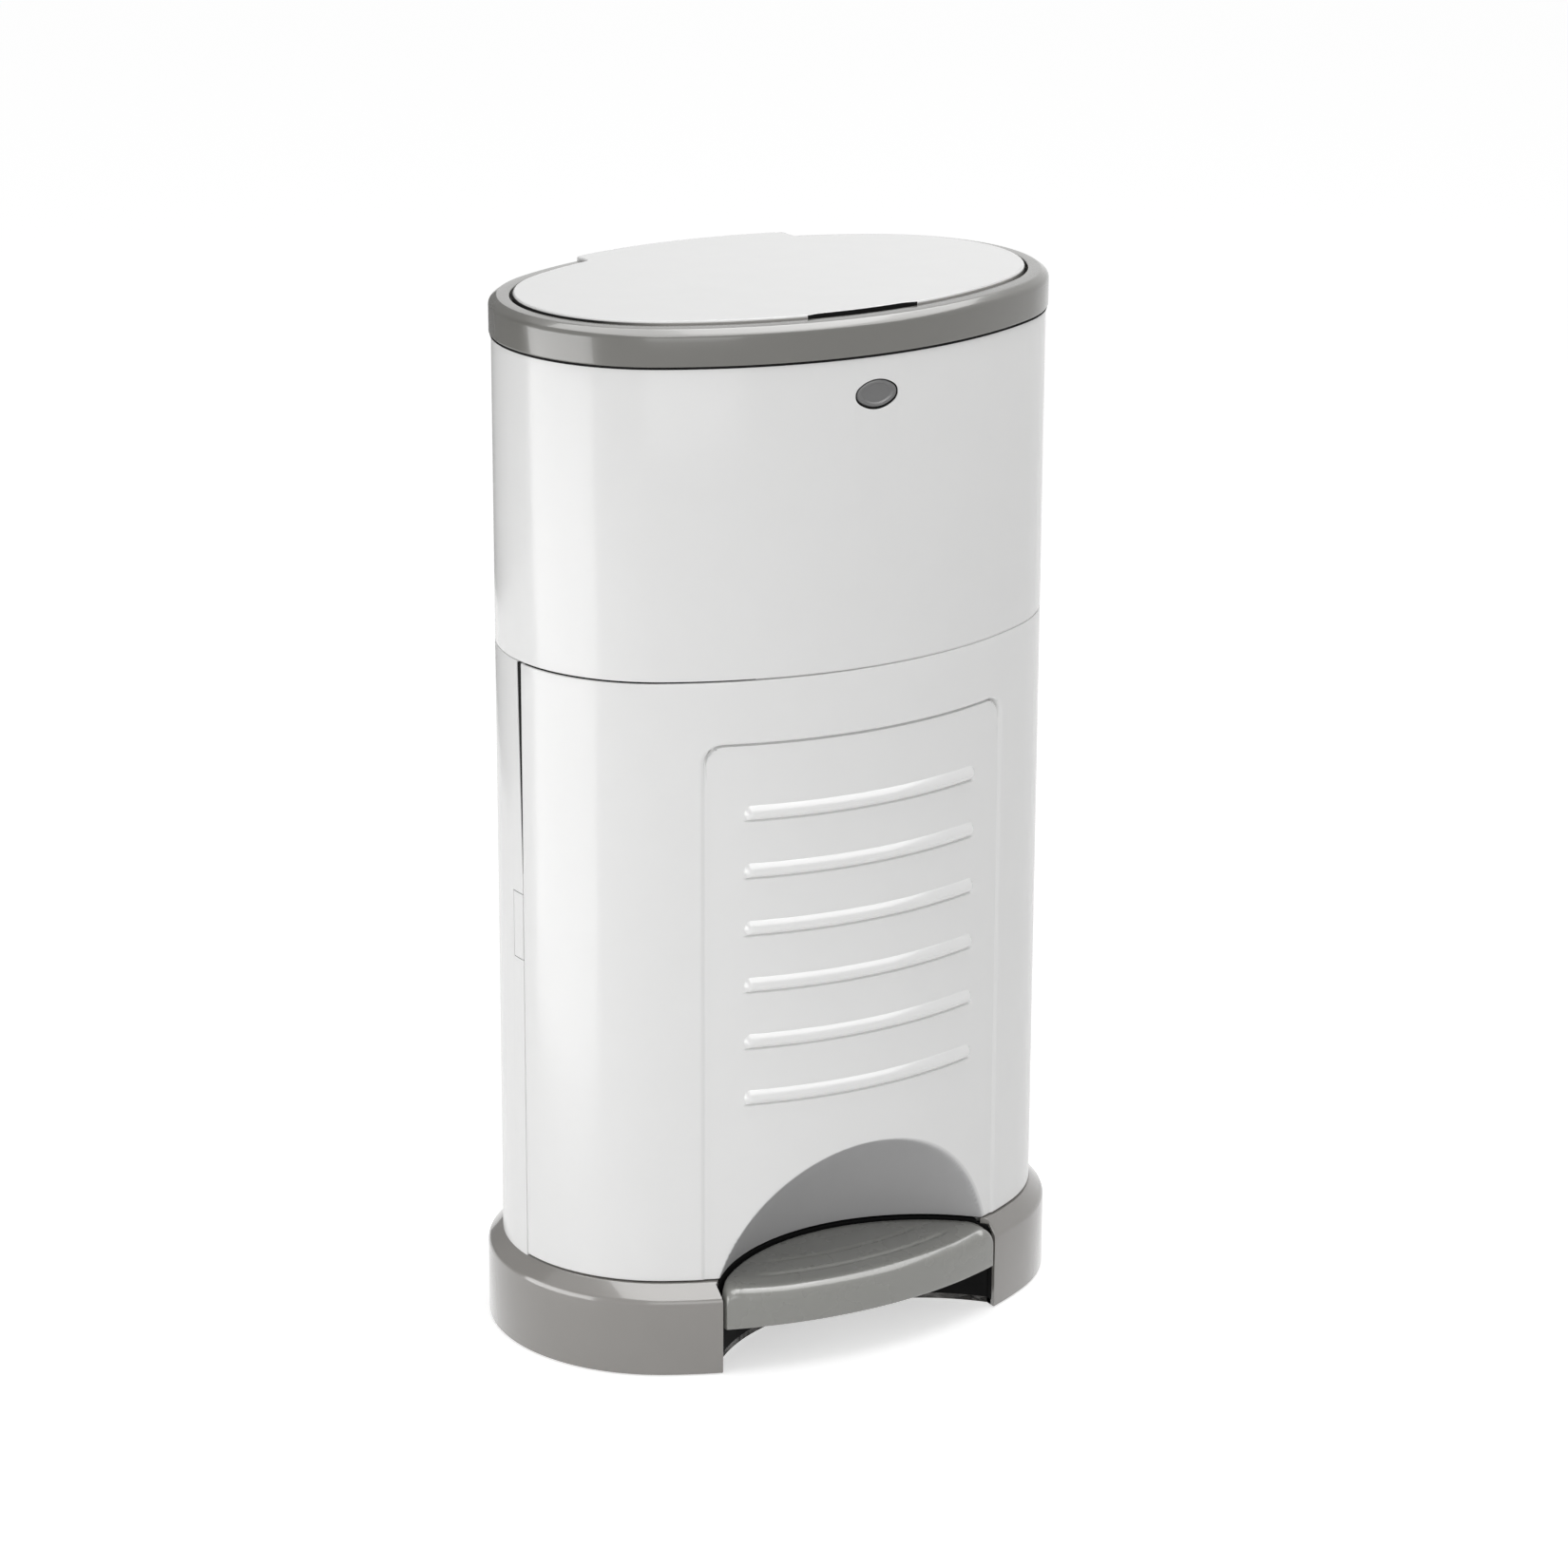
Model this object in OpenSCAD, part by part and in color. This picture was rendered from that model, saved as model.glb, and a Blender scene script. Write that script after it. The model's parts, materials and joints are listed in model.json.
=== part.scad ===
// Pedal nappy bin: an oval two-part body on a plinth, a hinged top rim with trap doors, and a flat lid.
// Millimetres, +Z up, the front faces -Y, and the origin is on the floor under the middle of the body.

/* [Body outline] */
// Width of the body, without the plinth
body_w = 292; // [280:1:304]
// Depth of the body, without the plinth
body_d = 197; // [190:1:204]
// Radius of the rounded ends of the body
end_r = 82; // [78:1:86]
// Thickness of the shell walls
wall = 2.5; // [2:0.1:3]
// Thickness of the front door's wall
door_wall = 4; // [3.4:0.1:4.4]

/* [Heights] */
// Top of the upper housing, where the rim starts
housing_top = 515.3; // [505:1:530]
// Seam between the lower body and the upper housing
seam_z = 360.6; // [350:1:372]
// Top of the plinth's upright wall
plinth_h = 42; // [40:0.5:43]
// Height of the plinth's sloping shoulder
shoulder_h = 5.4; // [4:0.2:7]
// Height of the underside of the plinth above the floor
foot_lift = 1; // [0.6:0.1:1.4]

/* [Plinth and pedal] */
// How far the plinth stands out from the body
plinth_out = 8.5; // [7:0.5:10]
// Thickness of the plinth's floor
plinth_floor = 3; // [2.4:0.1:3.4]
// Half width of the pedal's gap in the plinth
pedal_gap_x = 81.2; // [78:0.2:84]
// Gap between the pedal and the sides of its gap
pedal_side = 1.7; // [1:0.1:2.5]
// Underside of the pedal's front face
pedal_z0 = 24; // [23:0.5:26]
// Top of the pedal's tread
pedal_z1 = 46; // [45:0.2:46.6]
// Thickness of the pedal's tread and skirt
pedal_t = 3; // [2.4:0.1:3.6]
// Radius of the pedal's top front corners
pedal_corner = 8; // [5:0.5:10]
// Place of the pedal's axle, front to back
axle_y = -9; // [-12:0.5:-6]
// Height of the pedal's axle
axle_z = 22; // [21:0.5:23]
// Radius of the pedal's axle
axle_r = 3; // [2.5:0.1:3.5]
// Half length of the pedal's axle
axle_half = 50; // [46:1:56]
// Outer radius of the pedal lever's hub
hub_r = 7; // [6.4:0.1:7.6]
// Half width of the pedal lever's arm
lever_half = 10; // [8:0.5:12]

/* [Toe scoop] */
// Radius of the ball that forms the scoop
scoop_r = 111.2; // [109:0.2:113]
// Centre of the scoop, front to back
scoop_y = -154.3; // [-156:0.1:-152]
// Height of the scoop's centre
scoop_z = 14.8; // [12:0.2:17]
// Thickness of the scoop's shell
scoop_t = 2.5; // [2:0.1:3]
// Radius of the upright wall behind the pedal
recess_r = 107; // [106:0.2:108]
// Gap between the pedal's back edge and that wall
pedal_back_gap = 2.5; // [1.6:0.1:4]

/* [Front door] */
// Half width of the door's sunken panel
panel_x = 86.5; // [80:0.5:92]
// Top of the sunken panel
panel_top = 328.5; // [315:0.5:338]
// Depth of the sunken panel
panel_depth = 1.8; // [1:0.1:2]
// Radius of the panel's top corners
panel_r = 10; // [6:0.5:16]
// Number of ribs on the panel
ribs = 6; // [3:1:7]
// Half length of a rib
rib_x = 67.3; // [55:0.5:72]
// Height of the highest rib's middle
rib_top = 292.6; // [285:0.2:300]
// Distance from one rib to the next
rib_step = 29.65; // [26:0.05:31]
// Height of a rib across its face
rib_h = 7; // [5:0.2:9]
// Gap round the door
door_gap = 0.8; // [0.6:0.1:1.1]
// Place of the door's seam and hinge, front to back
door_y = -5; // [-7:0.5:-3]
// Outer radius of the door's hinge bead
bead_r = 3.2; // [2.8:0.1:3.6]
// Radius of the door's hinge pins
door_pin_r = 1.6; // [1.3:0.1:1.9]
// Length of a hinge pin inside the door, and again inside the body
door_pin_l = 14; // [10:1:20]

/* [Door latch] */
// Lower end of the latch tab
latch_z0 = 206; // [190:1:220]
// Length of the latch tab
latch_l = 34; // [28:1:40]
// Width of the latch tab
latch_w = 9; // [8:0.5:11]

/* [Top rim] */
// How far the rim stands out from the body
rim_out = 1.2; // [0.8:0.1:2]
// Height of the rim's upright outer face
rim_face = 14.75; // [12:0.25:16]
// Height of the rim's bevel
rim_bevel_h = 3.1; // [2.4:0.1:3.6]
// Width of the rim's bevel
rim_bevel_w = 4.4; // [3:0.1:6]
// Inset of the rim's inner edge from the body's outline
rim_in = 10.2; // [9:0.1:11.4]
// Half width of the rim's rear cut for the lid's hinge
rear_cut_x = 59.5; // [50:0.5:66]
// Radius of the rim's rear hinge knuckles
knuckle_r = 3.2; // [2.8:0.1:3.3]
// Radius of the rim's rear hinge pin
rim_pin_r = 1.5; // [1.2:0.1:1.7]

/* [Lid] */
// Gap between the lid and the rim
lid_gap = 1.5; // [1.3:0.1:2]
// Thickness of the lid's edge
lid_edge = 4; // [3.4:0.2:4.4]
// Height of the lid's top above the rim's inner edge
lid_proud = 1.5; // [1:0.1:2.4]
// Half width of the finger slot in the lid's front edge
slot_x = 30.8; // [24:0.2:36]
// Depth of the finger slot
slot_d = 5.5; // [3:0.5:11]
// Place of the lid's hinge, front to back
lid_hinge_y = 92; // [91.6:0.1:92.4]
// Height of the lid's hinge below the top of the lid
lid_hinge_drop = 8.5; // [8:0.1:9]
// Radius of the lid's hinge barrel
barrel_r = 4; // [3.6:0.1:4.4]
// Half length of the lid's hinge barrel
barrel_half = 35; // [26:1:36]
// Radius of the lid's hinge pin
lid_pin_r = 2; // [1.6:0.1:2.2]
// Travel of the lid, in degrees
lid_turn = 75; // [60:1:75]

/* [Trap doors] */
// Half width of the chute
chute_x = 76; // [70:0.5:80]
// Half depth of the chute
chute_y = 50; // [44:0.5:52]
// Thickness of the chute's walls
chute_t = 2; // [1.6:0.1:2.4]
// Drop of the trap doors' axles below the housing's top
flap_drop = 37.3; // [35:0.1:41]
// Thickness of a trap door
flap_t = 2.5; // [2:0.1:3]
// Radius of a trap door's barrel
flap_barrel_r = 4; // [3.6:0.1:4.4]
// Radius of a trap door's axle
flap_axle_r = 2; // [1.6:0.1:2.2]
// Radius of a trap door's crank
crank_r = 13.2; // [12.8:0.1:13.6]
// Radius of the crank pins
crank_pin_r = 2; // [1.8:0.1:2.2]
// Travel of the trap doors, in degrees
flap_turn = 80; // [70:1:80]

/* [Lift rod] */
// Place of the lift rod, front to back
rod_y = 84; // [82:0.5:85]
// Radius of the lift rod
rod_r = 2.5; // [2:0.1:3]
// Travel of the lift rod
lift = 17; // [14:0.5:17]
// Drop of the lift rod's top below the trap doors' axles
rod_drop = 8; // [6:0.5:12]

/* [Film cassette] */
// Outer radius of the cassette
cassette_r = 76; // [70:0.5:77]
// Radius of the cassette's open middle
cassette_bore = 56; // [48:0.5:60]
// Height of the cassette
cassette_h = 40; // [30:1:44]
// Place of the cassette, front to back
cassette_y = -10; // [-12:0.5:-8]
// Drop of the tray's floor below the seam
tray_drop = 15; // [12:0.5:20]

/* [Button] */
// Width of the release button
button_w = 25.2; // [20:0.2:30]
// Height of the release button
button_h = 15.5; // [12:0.1:18]
// Height of the button's middle below the housing's top
button_drop = 18.9; // [18:0.1:24]
// Gap round the button
button_gap = 0.7; // [0.4:0.1:1]
// Radius of the button's stem
stem_r = 3; // [2.4:0.1:3.4]

/* [Fits] */
// Gap between seated pieces
seat = 0.3; // [0.2:0.05:0.4]
// Radial play of pins and axles
play = 0.05; // [0.03:0.01:0.08]
// Gap where one moving piece pushes or passes another
clear = 0.5; // [0.4:0.05:0.6]

/* [Hidden] */
$fn = 64;
// Circle steps of the long, nearly flat arcs
fine = 240;
// Set-back of the seam between an oval's long and short arcs
lap = 1.5;
// Length that outruns any piece
big = 700;
half_w = body_w / 2;
half_d = body_d / 2;
side_r = (half_w*half_w + half_d*half_d - 2*half_w*end_r) / (2*(half_d - end_r));
side_y = side_r - half_d;
floor_z = foot_lift + plinth_floor;
shoulder_z = plinth_h + shoulder_h;
door_z0 = shoulder_z + door_gap;
door_z1 = seam_z - door_gap;
rim_z = housing_top + 0.45;
rim_face_z = rim_z + rim_face;
rim_top_z = rim_face_z + rim_bevel_h + 0.4;
lid_top_z = rim_top_z + lid_proud;
lid_z0 = lid_top_z - lid_edge;
lid_in = rim_in + lid_gap;
lid_hinge_z = lid_top_z - lid_hinge_drop;
rim_hinge_y = half_d + rim_out + knuckle_r + seat;
rim_hinge_z = housing_top;
cradle_z = housing_top + 4.6;
cradle_t = 2.5;
pedal_back_r = recess_r - pedal_back_gap;
flap_z = housing_top - flap_drop;
rod_top = flap_z - rod_drop;
lid_crank_r = lift/2/sin(lid_turn/2);
foot_z = axle_z + 6 + seat;
flap_x = chute_x + flap_barrel_r;
pan_z = pedal_z1 - 2.5;
tray_z = seam_z - tray_drop;
cassette_z = tray_z + 2.5 + seat;
shelf_z = seam_z + 0.4;
button_z = housing_top - button_drop;
bead_x = half_w - bead_r;

// Solid oval between two heights: a disc at each end, joined by the overlap of two large discs.
// The seam between long and short arcs is set back by step, so that no tangent surfaces meet there.
module oval(hw, hd, er, z0, z1, grow0, grow1, step) {
  ex = hw - er;
  sr = (hw*hw + hd*hd - 2*hw*er) / (2*(hd - er));
  join = ex*(1 + (er + (grow0 + grow1)/2) / (sr - er)) - step - abs(grow1 - grow0)/4;
  h = z1 - z0;
  translate([0, 0, z0]) {
    for (s = [-1, 1]) translate([s*ex, 0, 0]) cylinder(r1 = er + grow0, r2 = er + grow1, h = h);
    intersection() {
      translate([0, sr - hd, 0]) cylinder(r1 = sr + grow0, r2 = sr + grow1, h = h, $fn = fine);
      translate([0, hd - sr, 0]) cylinder(r1 = sr + grow0, r2 = sr + grow1, h = h, $fn = fine);
      translate([-join, -2*hd, 0]) cube([2*join, 4*hd, h]);
    }
  }
}
// Oval of the body's outline, offset by grow at its foot and by top at its upper edge
module slab(z0, z1, grow, top = undef) {
  oval(half_w, half_d, end_r, z0, z1, grow, is_undef(top) ? grow : top, lap);
}
// Oval band between two offsets from the body's outline
module band(z0, z1, outer, inner) {
  difference() {
    slab(z0, z1, outer);
    slab(z0 - 1, z1 + 1, inner);
  }
}
// Box from its lowest corner to its highest
module block(a, b) { translate(a) cube(b - a); }
// Rod along X, Y or Z between two places
module rod_x(y, z, r, x0, x1) { translate([x0, y, z]) rotate([0, 90, 0]) cylinder(r = r, h = x1 - x0); }
module rod_y(x, z, r, y0, y1) { translate([x, y0, z]) rotate([-90, 0, 0]) cylinder(r = r, h = y1 - y0); }
module rod_z(x, y, r, z0, z1) { translate([x, y, z0]) cylinder(r = r, h = z1 - z0); }
// Flat rounded rectangle about the origin
module rounded(x, y, r) {
  square([2*x, 2*(y - r)], center = true);
  square([2*(x - r), 2*y], center = true);
  for (i = [-1, 1], j = [-1, 1]) translate([i*(x - r), j*(y - r)]) circle(r);
}
// Open coil along Z, one unbroken wire
module coil(r, wire, turns, length) {
  steps = 10;
  sides = 6;
  n = turns*steps;
  pts = [for (i = [0:n], j = [0:sides - 1])
    let (a = 360*i/steps, b = 360*j/sides, q = r + wire*cos(b))
    [q*cos(a), q*sin(a), length*i/n + wire*sin(b)]];
  skin = [for (i = [0:n - 1], j = [0:sides - 1]) let (k = (j + 1) % sides)
    [i*sides + j, (i + 1)*sides + j, (i + 1)*sides + k, i*sides + k]];
  tris = [for (f = skin, t = [[0, 1, 2], [0, 2, 3]]) [f[t[0]], f[t[1]], f[t[2]]]];
  cap0 = [for (j = [1:sides - 2]) [0, j, j + 1]];
  cap1 = [for (j = [1:sides - 2]) [n*sides, n*sides + j + 1, n*sides + j]];
  polyhedron(points = pts, faces = concat(tris, cap0, cap1));
}

// Places of the screws that hold the plinth, the tray and the cradle
foot_at = [for (i = [-1, 1], j = [-1, 1]) [i*105, j*52]];
base_screw_at = [[-112, 26], [112, 26], [-62, 72], [62, 72]];
tray_screw_at = [for (i = [-1, 1], j = [-1, 1]) [i*(half_w - 9.7), j*24]];
cradle_screw_at = [[-124, 0], [124, 0], [-60, -66], [60, -66]];
screw_r = 1.5;
screw_head_r = 3;
screw_head_h = 1.6;
boss_r = 4.5;

module pedal_gap(r, side, z0, z1) {
  intersection() {
    rod_z(0, scoop_y, r, z0, z1);
    block([-side, -2*body_d, z0 - 1], [side, 0, z1 + 1]);
  }
}

module base_plinth() color([0.70, 0.69, 0.67]) difference() {
  union() {
    difference() {
      union() {
        slab(foot_lift, plinth_h, plinth_out);
        slab(plinth_h, shoulder_z, plinth_out, seat);
      }
      slab(floor_z, plinth_h - 4, plinth_out - 3);
      slab(plinth_h - 5, shoulder_z + 1, seat);
      pedal_gap(recess_r, pedal_gap_x, -1, shoulder_z + 1);
    }
    // Wall behind the pedal and at its sides
    intersection() {
      difference() {
        pedal_gap(recess_r + wall, pedal_gap_x + wall, foot_lift, shoulder_z);
        pedal_gap(recess_r, pedal_gap_x, foot_lift - 1, shoulder_z + 1);
      }
      union() {
        slab(foot_lift, plinth_h, plinth_out - 1);
        slab(plinth_h - 1, shoulder_z, -seat);
      }
    }
    // Sill inside the door
    difference() {
      band(floor_z - 0.5, shoulder_z - 1, -3, -5.5);
      block([-big, door_y, 0], [big, big, big]);
      pedal_gap(recess_r + 1, pedal_gap_x + 1, 0, big);
    }
    rod_z(bead_x, door_y, bead_r, floor_z - 0.5, shoulder_z);
    for (p = foot_at) rod_z(p[0], p[1], boss_r, floor_z - 0.5, pan_z - seat);
  }
  // Slot for the pedal lever, and bores for the hinge pin, the feet and the screws
  block([-lever_half - clear, scoop_y + recess_r - 12, floor_z], [lever_half + clear, scoop_y + recess_r + 8, pan_z - 1]);
  rod_z(bead_x, door_y, door_pin_r + play, shoulder_z - door_pin_l, big);
  for (p = foot_at) rod_z(p[0], p[1], 3 + play, 0, floor_z - 0.5);
  for (p = base_screw_at) {
    rod_z(p[0], p[1], screw_r + play, 0, 20);
    rod_z(p[0], p[1], screw_head_r + play, 0, foot_lift + screw_head_h + seat);
  }
}

module floor_pan() color([0.80, 0.80, 0.78]) difference() {
  slab(pan_z, pedal_z1, -5.5 - seat);
  pedal_gap(recess_r + wall + seat, pedal_gap_x + wall + seat, 0, big);
  rod_z(bead_x, door_y, bead_r + seat, 0, big);
  block([-14.5, rod_y - 14, 0], [14.5, big, big]);
}

module rear_shell() color([0.91, 0.91, 0.90]) difference() {
  union() {
    difference() {
      band(floor_z + seat, seam_z - seat, 0, -wall);
      block([-big, -big, 0], [0, door_y + door_gap/2, big]);
      block([-1, -big, 0], [big, door_y + bead_r + door_gap + 1, big]);
    }
    for (p = base_screw_at) rod_z(p[0], p[1], boss_r, floor_z + seat, 22);
    // Feet that tie the screw bosses to the wall
    intersection() {
      slab(floor_z + seat, 14, -1);
      for (p = base_screw_at) {
        block([min(p[0], 2*p[0]), p[1] - 1, floor_z + seat], [max(p[0], 2*p[0]), p[1] + 1, 14]);
        block([p[0] - 1, p[1], floor_z + seat], [p[0] + 1, big, 14]);
      }
    }
    // Back plate of the latch, tied to the wall behind the tab
    block([-134, door_y + 2, latch_z0 + 14], [-132, 12, latch_z0 + latch_l - 4]);
    block([-144, 9.5, latch_z0 + 14], [-132, 12, latch_z0 + latch_l - 4]);
  }
  block([-half_w - 5, door_y - 1, latch_z0 - clear], [-half_w + 9, door_y + latch_w + clear, latch_z0 + latch_l + clear]);
  for (p = base_screw_at) rod_z(p[0], p[1], screw_r + play, 0, 20);
}

module upper_housing() color([0.91, 0.91, 0.90]) difference() {
  union() {
    band(seam_z, housing_top, 0, -wall);
    band(shelf_z, shelf_z + 2, -1, -8);
    // Ledge under the rim's seal
    band(housing_top - 12.3, housing_top - 10.3, -1, -7);
    // Boss of the door's upper hinge pin
    rod_z(bead_x, door_y, bead_r, seam_z, seam_z + door_pin_l + 4);
    // Rear hinge knuckles and their arms
    for (x = [-30, -7, 23]) {
      w = x == -7 ? 14 : 7;
      rod_x(rim_hinge_y, rim_hinge_z, knuckle_r, x, x + w);
      block([x, half_d - 1.5, rim_hinge_z - knuckle_r], [x + w, rim_hinge_y, rim_hinge_z - 0.6]);
    }
  }
  rod_z(bead_x, door_y, door_pin_r + play, 0, seam_z + door_pin_l);
  rod_x(rim_hinge_y, rim_hinge_z, rim_pin_r + play, -40, 40);
  translate([0, -half_d + 10, button_z]) rotate([90, 0, 0]) button_oval(0, 20, button_gap);
  for (p = tray_screw_at) rod_z(p[0], p[1], screw_r + play, shelf_z - 1, shelf_z + 3);
}

// The button's oval, from a rounder oval of the same family
module button_oval(z0, z1, grow) {
  oval(button_w/2, button_h/2, button_h*0.32, z0, z1, grow, grow, 0.15);
}

module cassette_tray() color([0.82, 0.82, 0.80]) difference() {
  union() {
    slab(tray_z, tray_z + 2.5, -8.4);
    band(tray_z, shelf_z + 4.3, -8.4, -10.6);
    band(shelf_z + 2 + seat, shelf_z + 4.3, -wall - seat, -10.6);
  }
  rod_z(0, cassette_y, cassette_bore - 2, 0, big);
  rod_z(0, rod_y, rod_r + 1.5, 0, tray_z + 10);
  // Notch round the boss of the door's hinge pin
  rod_z(bead_x, door_y, bead_r + seat, 0, big);
  for (p = tray_screw_at) rod_z(p[0], p[1], screw_r + play, shelf_z, shelf_z + 8);
}

module liner_cassette() color([0.45, 0.62, 0.72]) translate([0, cassette_y, cassette_z])
  rotate_extrude() polygon([
    [cassette_bore, 0], [cassette_r, 0], [cassette_r, cassette_h], [cassette_r - 2, cassette_h],
    [cassette_r - 2, 2], [cassette_bore + 2, 2], [cassette_bore + 2, cassette_h - 4],
    [cassette_bore, cassette_h - 4]
  ]);

module film_pack() color([0.75, 0.82, 0.86]) translate([0, cassette_y, cassette_z + 2 + seat])
  rotate_extrude() polygon([
    [cassette_bore + 2 + seat, 0], [cassette_r - 2 - seat, 0], [cassette_r - 2 - seat, cassette_h - 9],
    for (i = [0:5]) [cassette_r - 2 - seat - (i + 0.5)*(cassette_r - cassette_bore - 4 - 2*seat)/6,
                     cassette_h - 9 - (i % 2 == 0 ? 2 : 0)],
    [cassette_bore + 2 + seat, cassette_h - 9]
  ]);

// Lower end and height of each guide of the lift rod
guide_at = [[foot_z + 9 + lift + clear, 10], [250, 12], [tray_z - 11.6, 10], [rod_top - 30, 12]];
module rod_guides() color([0.80, 0.80, 0.78]) for (g = guide_at) difference() {
  block([-7, rod_y - 6, g[0]], [7, half_d - wall - 0.12 - seat, g[0] + g[1]]);
  rod_z(0, rod_y, rod_r + play, 0, big);
}

module rod_cover() color([0.88, 0.88, 0.86]) difference() {
  intersection() {
    block([-14, rod_y - 12, pedal_z1 + seat], [14, big, tray_z - seat]);
    slab(0, big, -wall - seat);
  }
  block([-12, rod_y - 10, 0], [12, big, big]);
}

module pedal_brackets() color([0.62, 0.62, 0.60]) for (s = [-1, 1]) difference() {
  union() {
    block([s*44 - 3, axle_y - 9, floor_z + seat/3], [s*44 + 3, axle_y + 9, axle_z]);
    rod_x(axle_y, axle_z, 9, s*44 - 3, s*44 + 3);
  }
  rod_x(axle_y, axle_z, axle_r + play, -60, 60);
}

module rubber_feet() color([0.16, 0.16, 0.16]) for (p = foot_at) {
  rod_z(p[0], p[1], 9, 0, foot_lift);
  rod_z(p[0], p[1], 3, foot_lift - 0.2, floor_z - 0.6);
}

module screw(p, z, l) {
  rod_z(p[0], p[1], screw_head_r, z, z + screw_head_h);
  rod_z(p[0], p[1], screw_r, z, z + l);
}
module base_screws() color([0.6, 0.6, 0.6]) for (p = base_screw_at) screw(p, foot_lift + 0.2, 14);
module tray_screws() color([0.6, 0.6, 0.6]) for (p = tray_screw_at)
  mirror([0, 0, 1]) screw(p, -(shelf_z + 4.3 + screw_head_h), screw_head_h + 5);
module cradle_screws() color([0.6, 0.6, 0.6]) for (p = cradle_screw_at)
  screw(p, cradle_z - screw_head_h, screw_head_h + 4);

module button_guide() color([0.80, 0.80, 0.78]) difference() {
  union() {
    block([-18, -half_d + wall + 0.9 + seat, button_z - 11], [18, -85, button_z + 5.4]);
    block([-6, -86, button_z - 6], [6, -83, button_z + 5.4]);
  }
  translate([0, -80, button_z]) rotate([90, 0, 0]) button_oval(8, 30, button_gap);
  rod_y(0, button_z, stem_r + play, -100, -60);
}

module door_hinge_pins() color([0.7, 0.7, 0.7]) {
  rod_z(bead_x, door_y, door_pin_r, shoulder_z - door_pin_l + seat, door_z0 + door_pin_l - seat);
  rod_z(bead_x, door_y, door_pin_r, door_z1 - door_pin_l + seat, seam_z + door_pin_l - seat);
}
module rim_hinge_pin() color([0.7, 0.7, 0.7]) rod_x(rim_hinge_y, rim_hinge_z, rim_pin_r, -30, 30);
module pedal_axle() color([0.7, 0.7, 0.7]) rod_x(axle_y, axle_z, axle_r, -axle_half, axle_half);
module pedal_spring() color([0.6, 0.6, 0.6])
  translate([22, axle_y, axle_z]) rotate([0, 90, 0]) coil(hub_r + 1.6, 0.8, 5, 14);

module bag_cutter() color([0.45, 0.62, 0.72]) difference() {
  block([-16, -84, tray_z - 16], [16, -76, tray_z - seat/3]);
  block([-5, -90, tray_z - 20], [5, -70, tray_z - 6]);
  block([-7, -80.7, tray_z - 17], [7, -79.3, tray_z - 4]);
}
module cutter_blade() color([0.8, 0.8, 0.82])
  block([-6.8, -80.4, tray_z - 9], [6.8, -79.6, tray_z - 4.3]);

module latch_spring() color([0.6, 0.6, 0.6])
  translate([-139.6, door_y + latch_w/2, latch_z0 + latch_l/2]) rotate([0, 90, 0]) coil(2.6, 0.5, 4, 4.4);
module button_spring() color([0.6, 0.6, 0.6])
  translate([0, -92.9, button_z]) rotate([-90, 0, 0]) coil(stem_r + 1.3, 0.5, 4, 4.3);

// Everything above z that lies within x of the middle and behind y
module rear_cut(x, y, z) { block([-x, y, z], [x, big, big]); }

module rim_ring() difference() {
  union() {
    difference() {
      union() {
        slab(rim_z, rim_face_z, rim_out);
        slab(rim_face_z, rim_face_z + rim_bevel_h, rim_out, rim_out - rim_bevel_w);
        slab(rim_face_z + rim_bevel_h, rim_top_z, rim_out - rim_bevel_w, -rim_in + 0.2);
      }
      // Hollow of the rim, open at the bottom between the lip and the inner wall
      difference() {
        slab(rim_z + 2, rim_face_z - 0.5, rim_out - wall - 0.4);
        slab(rim_z + 1, rim_face_z, -rim_in + 2);
      }
      difference() {
        slab(rim_z - 1, rim_z + 3, -5.2);
        slab(rim_z - 1, rim_z + 4, -rim_in + 2);
      }
      slab(rim_z - 1, big, -rim_in - wall);
      slab(cradle_z + cradle_t + 3.1, big, -rim_in);
    }
    // Ledge that the lid lies on
    difference() {
      slab(cradle_z + cradle_t + seat, cradle_z + cradle_t + 3.1, -rim_in - 1);
      slab(0, big, -17);
    }
    // Lip inside the housing
    band(rim_z - 7.75, rim_z + 1, -wall - 0.7, -5.2);
  }
  rear_cut(rear_cut_x, rod_y - 14, rim_z + 2.7);
}
module top_rim() color([0.70, 0.69, 0.67]) difference() {
  union() {
    rim_ring();
    rim_lugs();
  }
  rod_x(lid_hinge_y, lid_hinge_z, lid_pin_r + play, -60, 60);
  rod_x(rim_hinge_y, rim_hinge_z, rim_pin_r + play, -40, 40);
}

// Rear part of the rim: lugs of the lid's hinge and knuckles of the rim's own hinge
module rim_lugs() {
  intersection() {
    slab(0, big, rim_out);
    for (s = [-1, 1]) union() {
      rod_x(lid_hinge_y, lid_hinge_z, barrel_r, s*(barrel_half + 4) - 3.5, s*(barrel_half + 4) + 3.5);
      block([s*(barrel_half + 4) - 3.5, lid_hinge_y - barrel_r, rim_z + 1], [s*(barrel_half + 4) + 3.5, lid_hinge_y + barrel_r, lid_hinge_z]);
    }
  }
  for (x = [-22.5, 7.5]) {
    rod_x(rim_hinge_y, rim_hinge_z, knuckle_r, x, x + 15);
    block([x, half_d - 3, rim_z + 0.2], [x + 15, rim_hinge_y, rim_hinge_z + knuckle_r]);
  }
}
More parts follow.
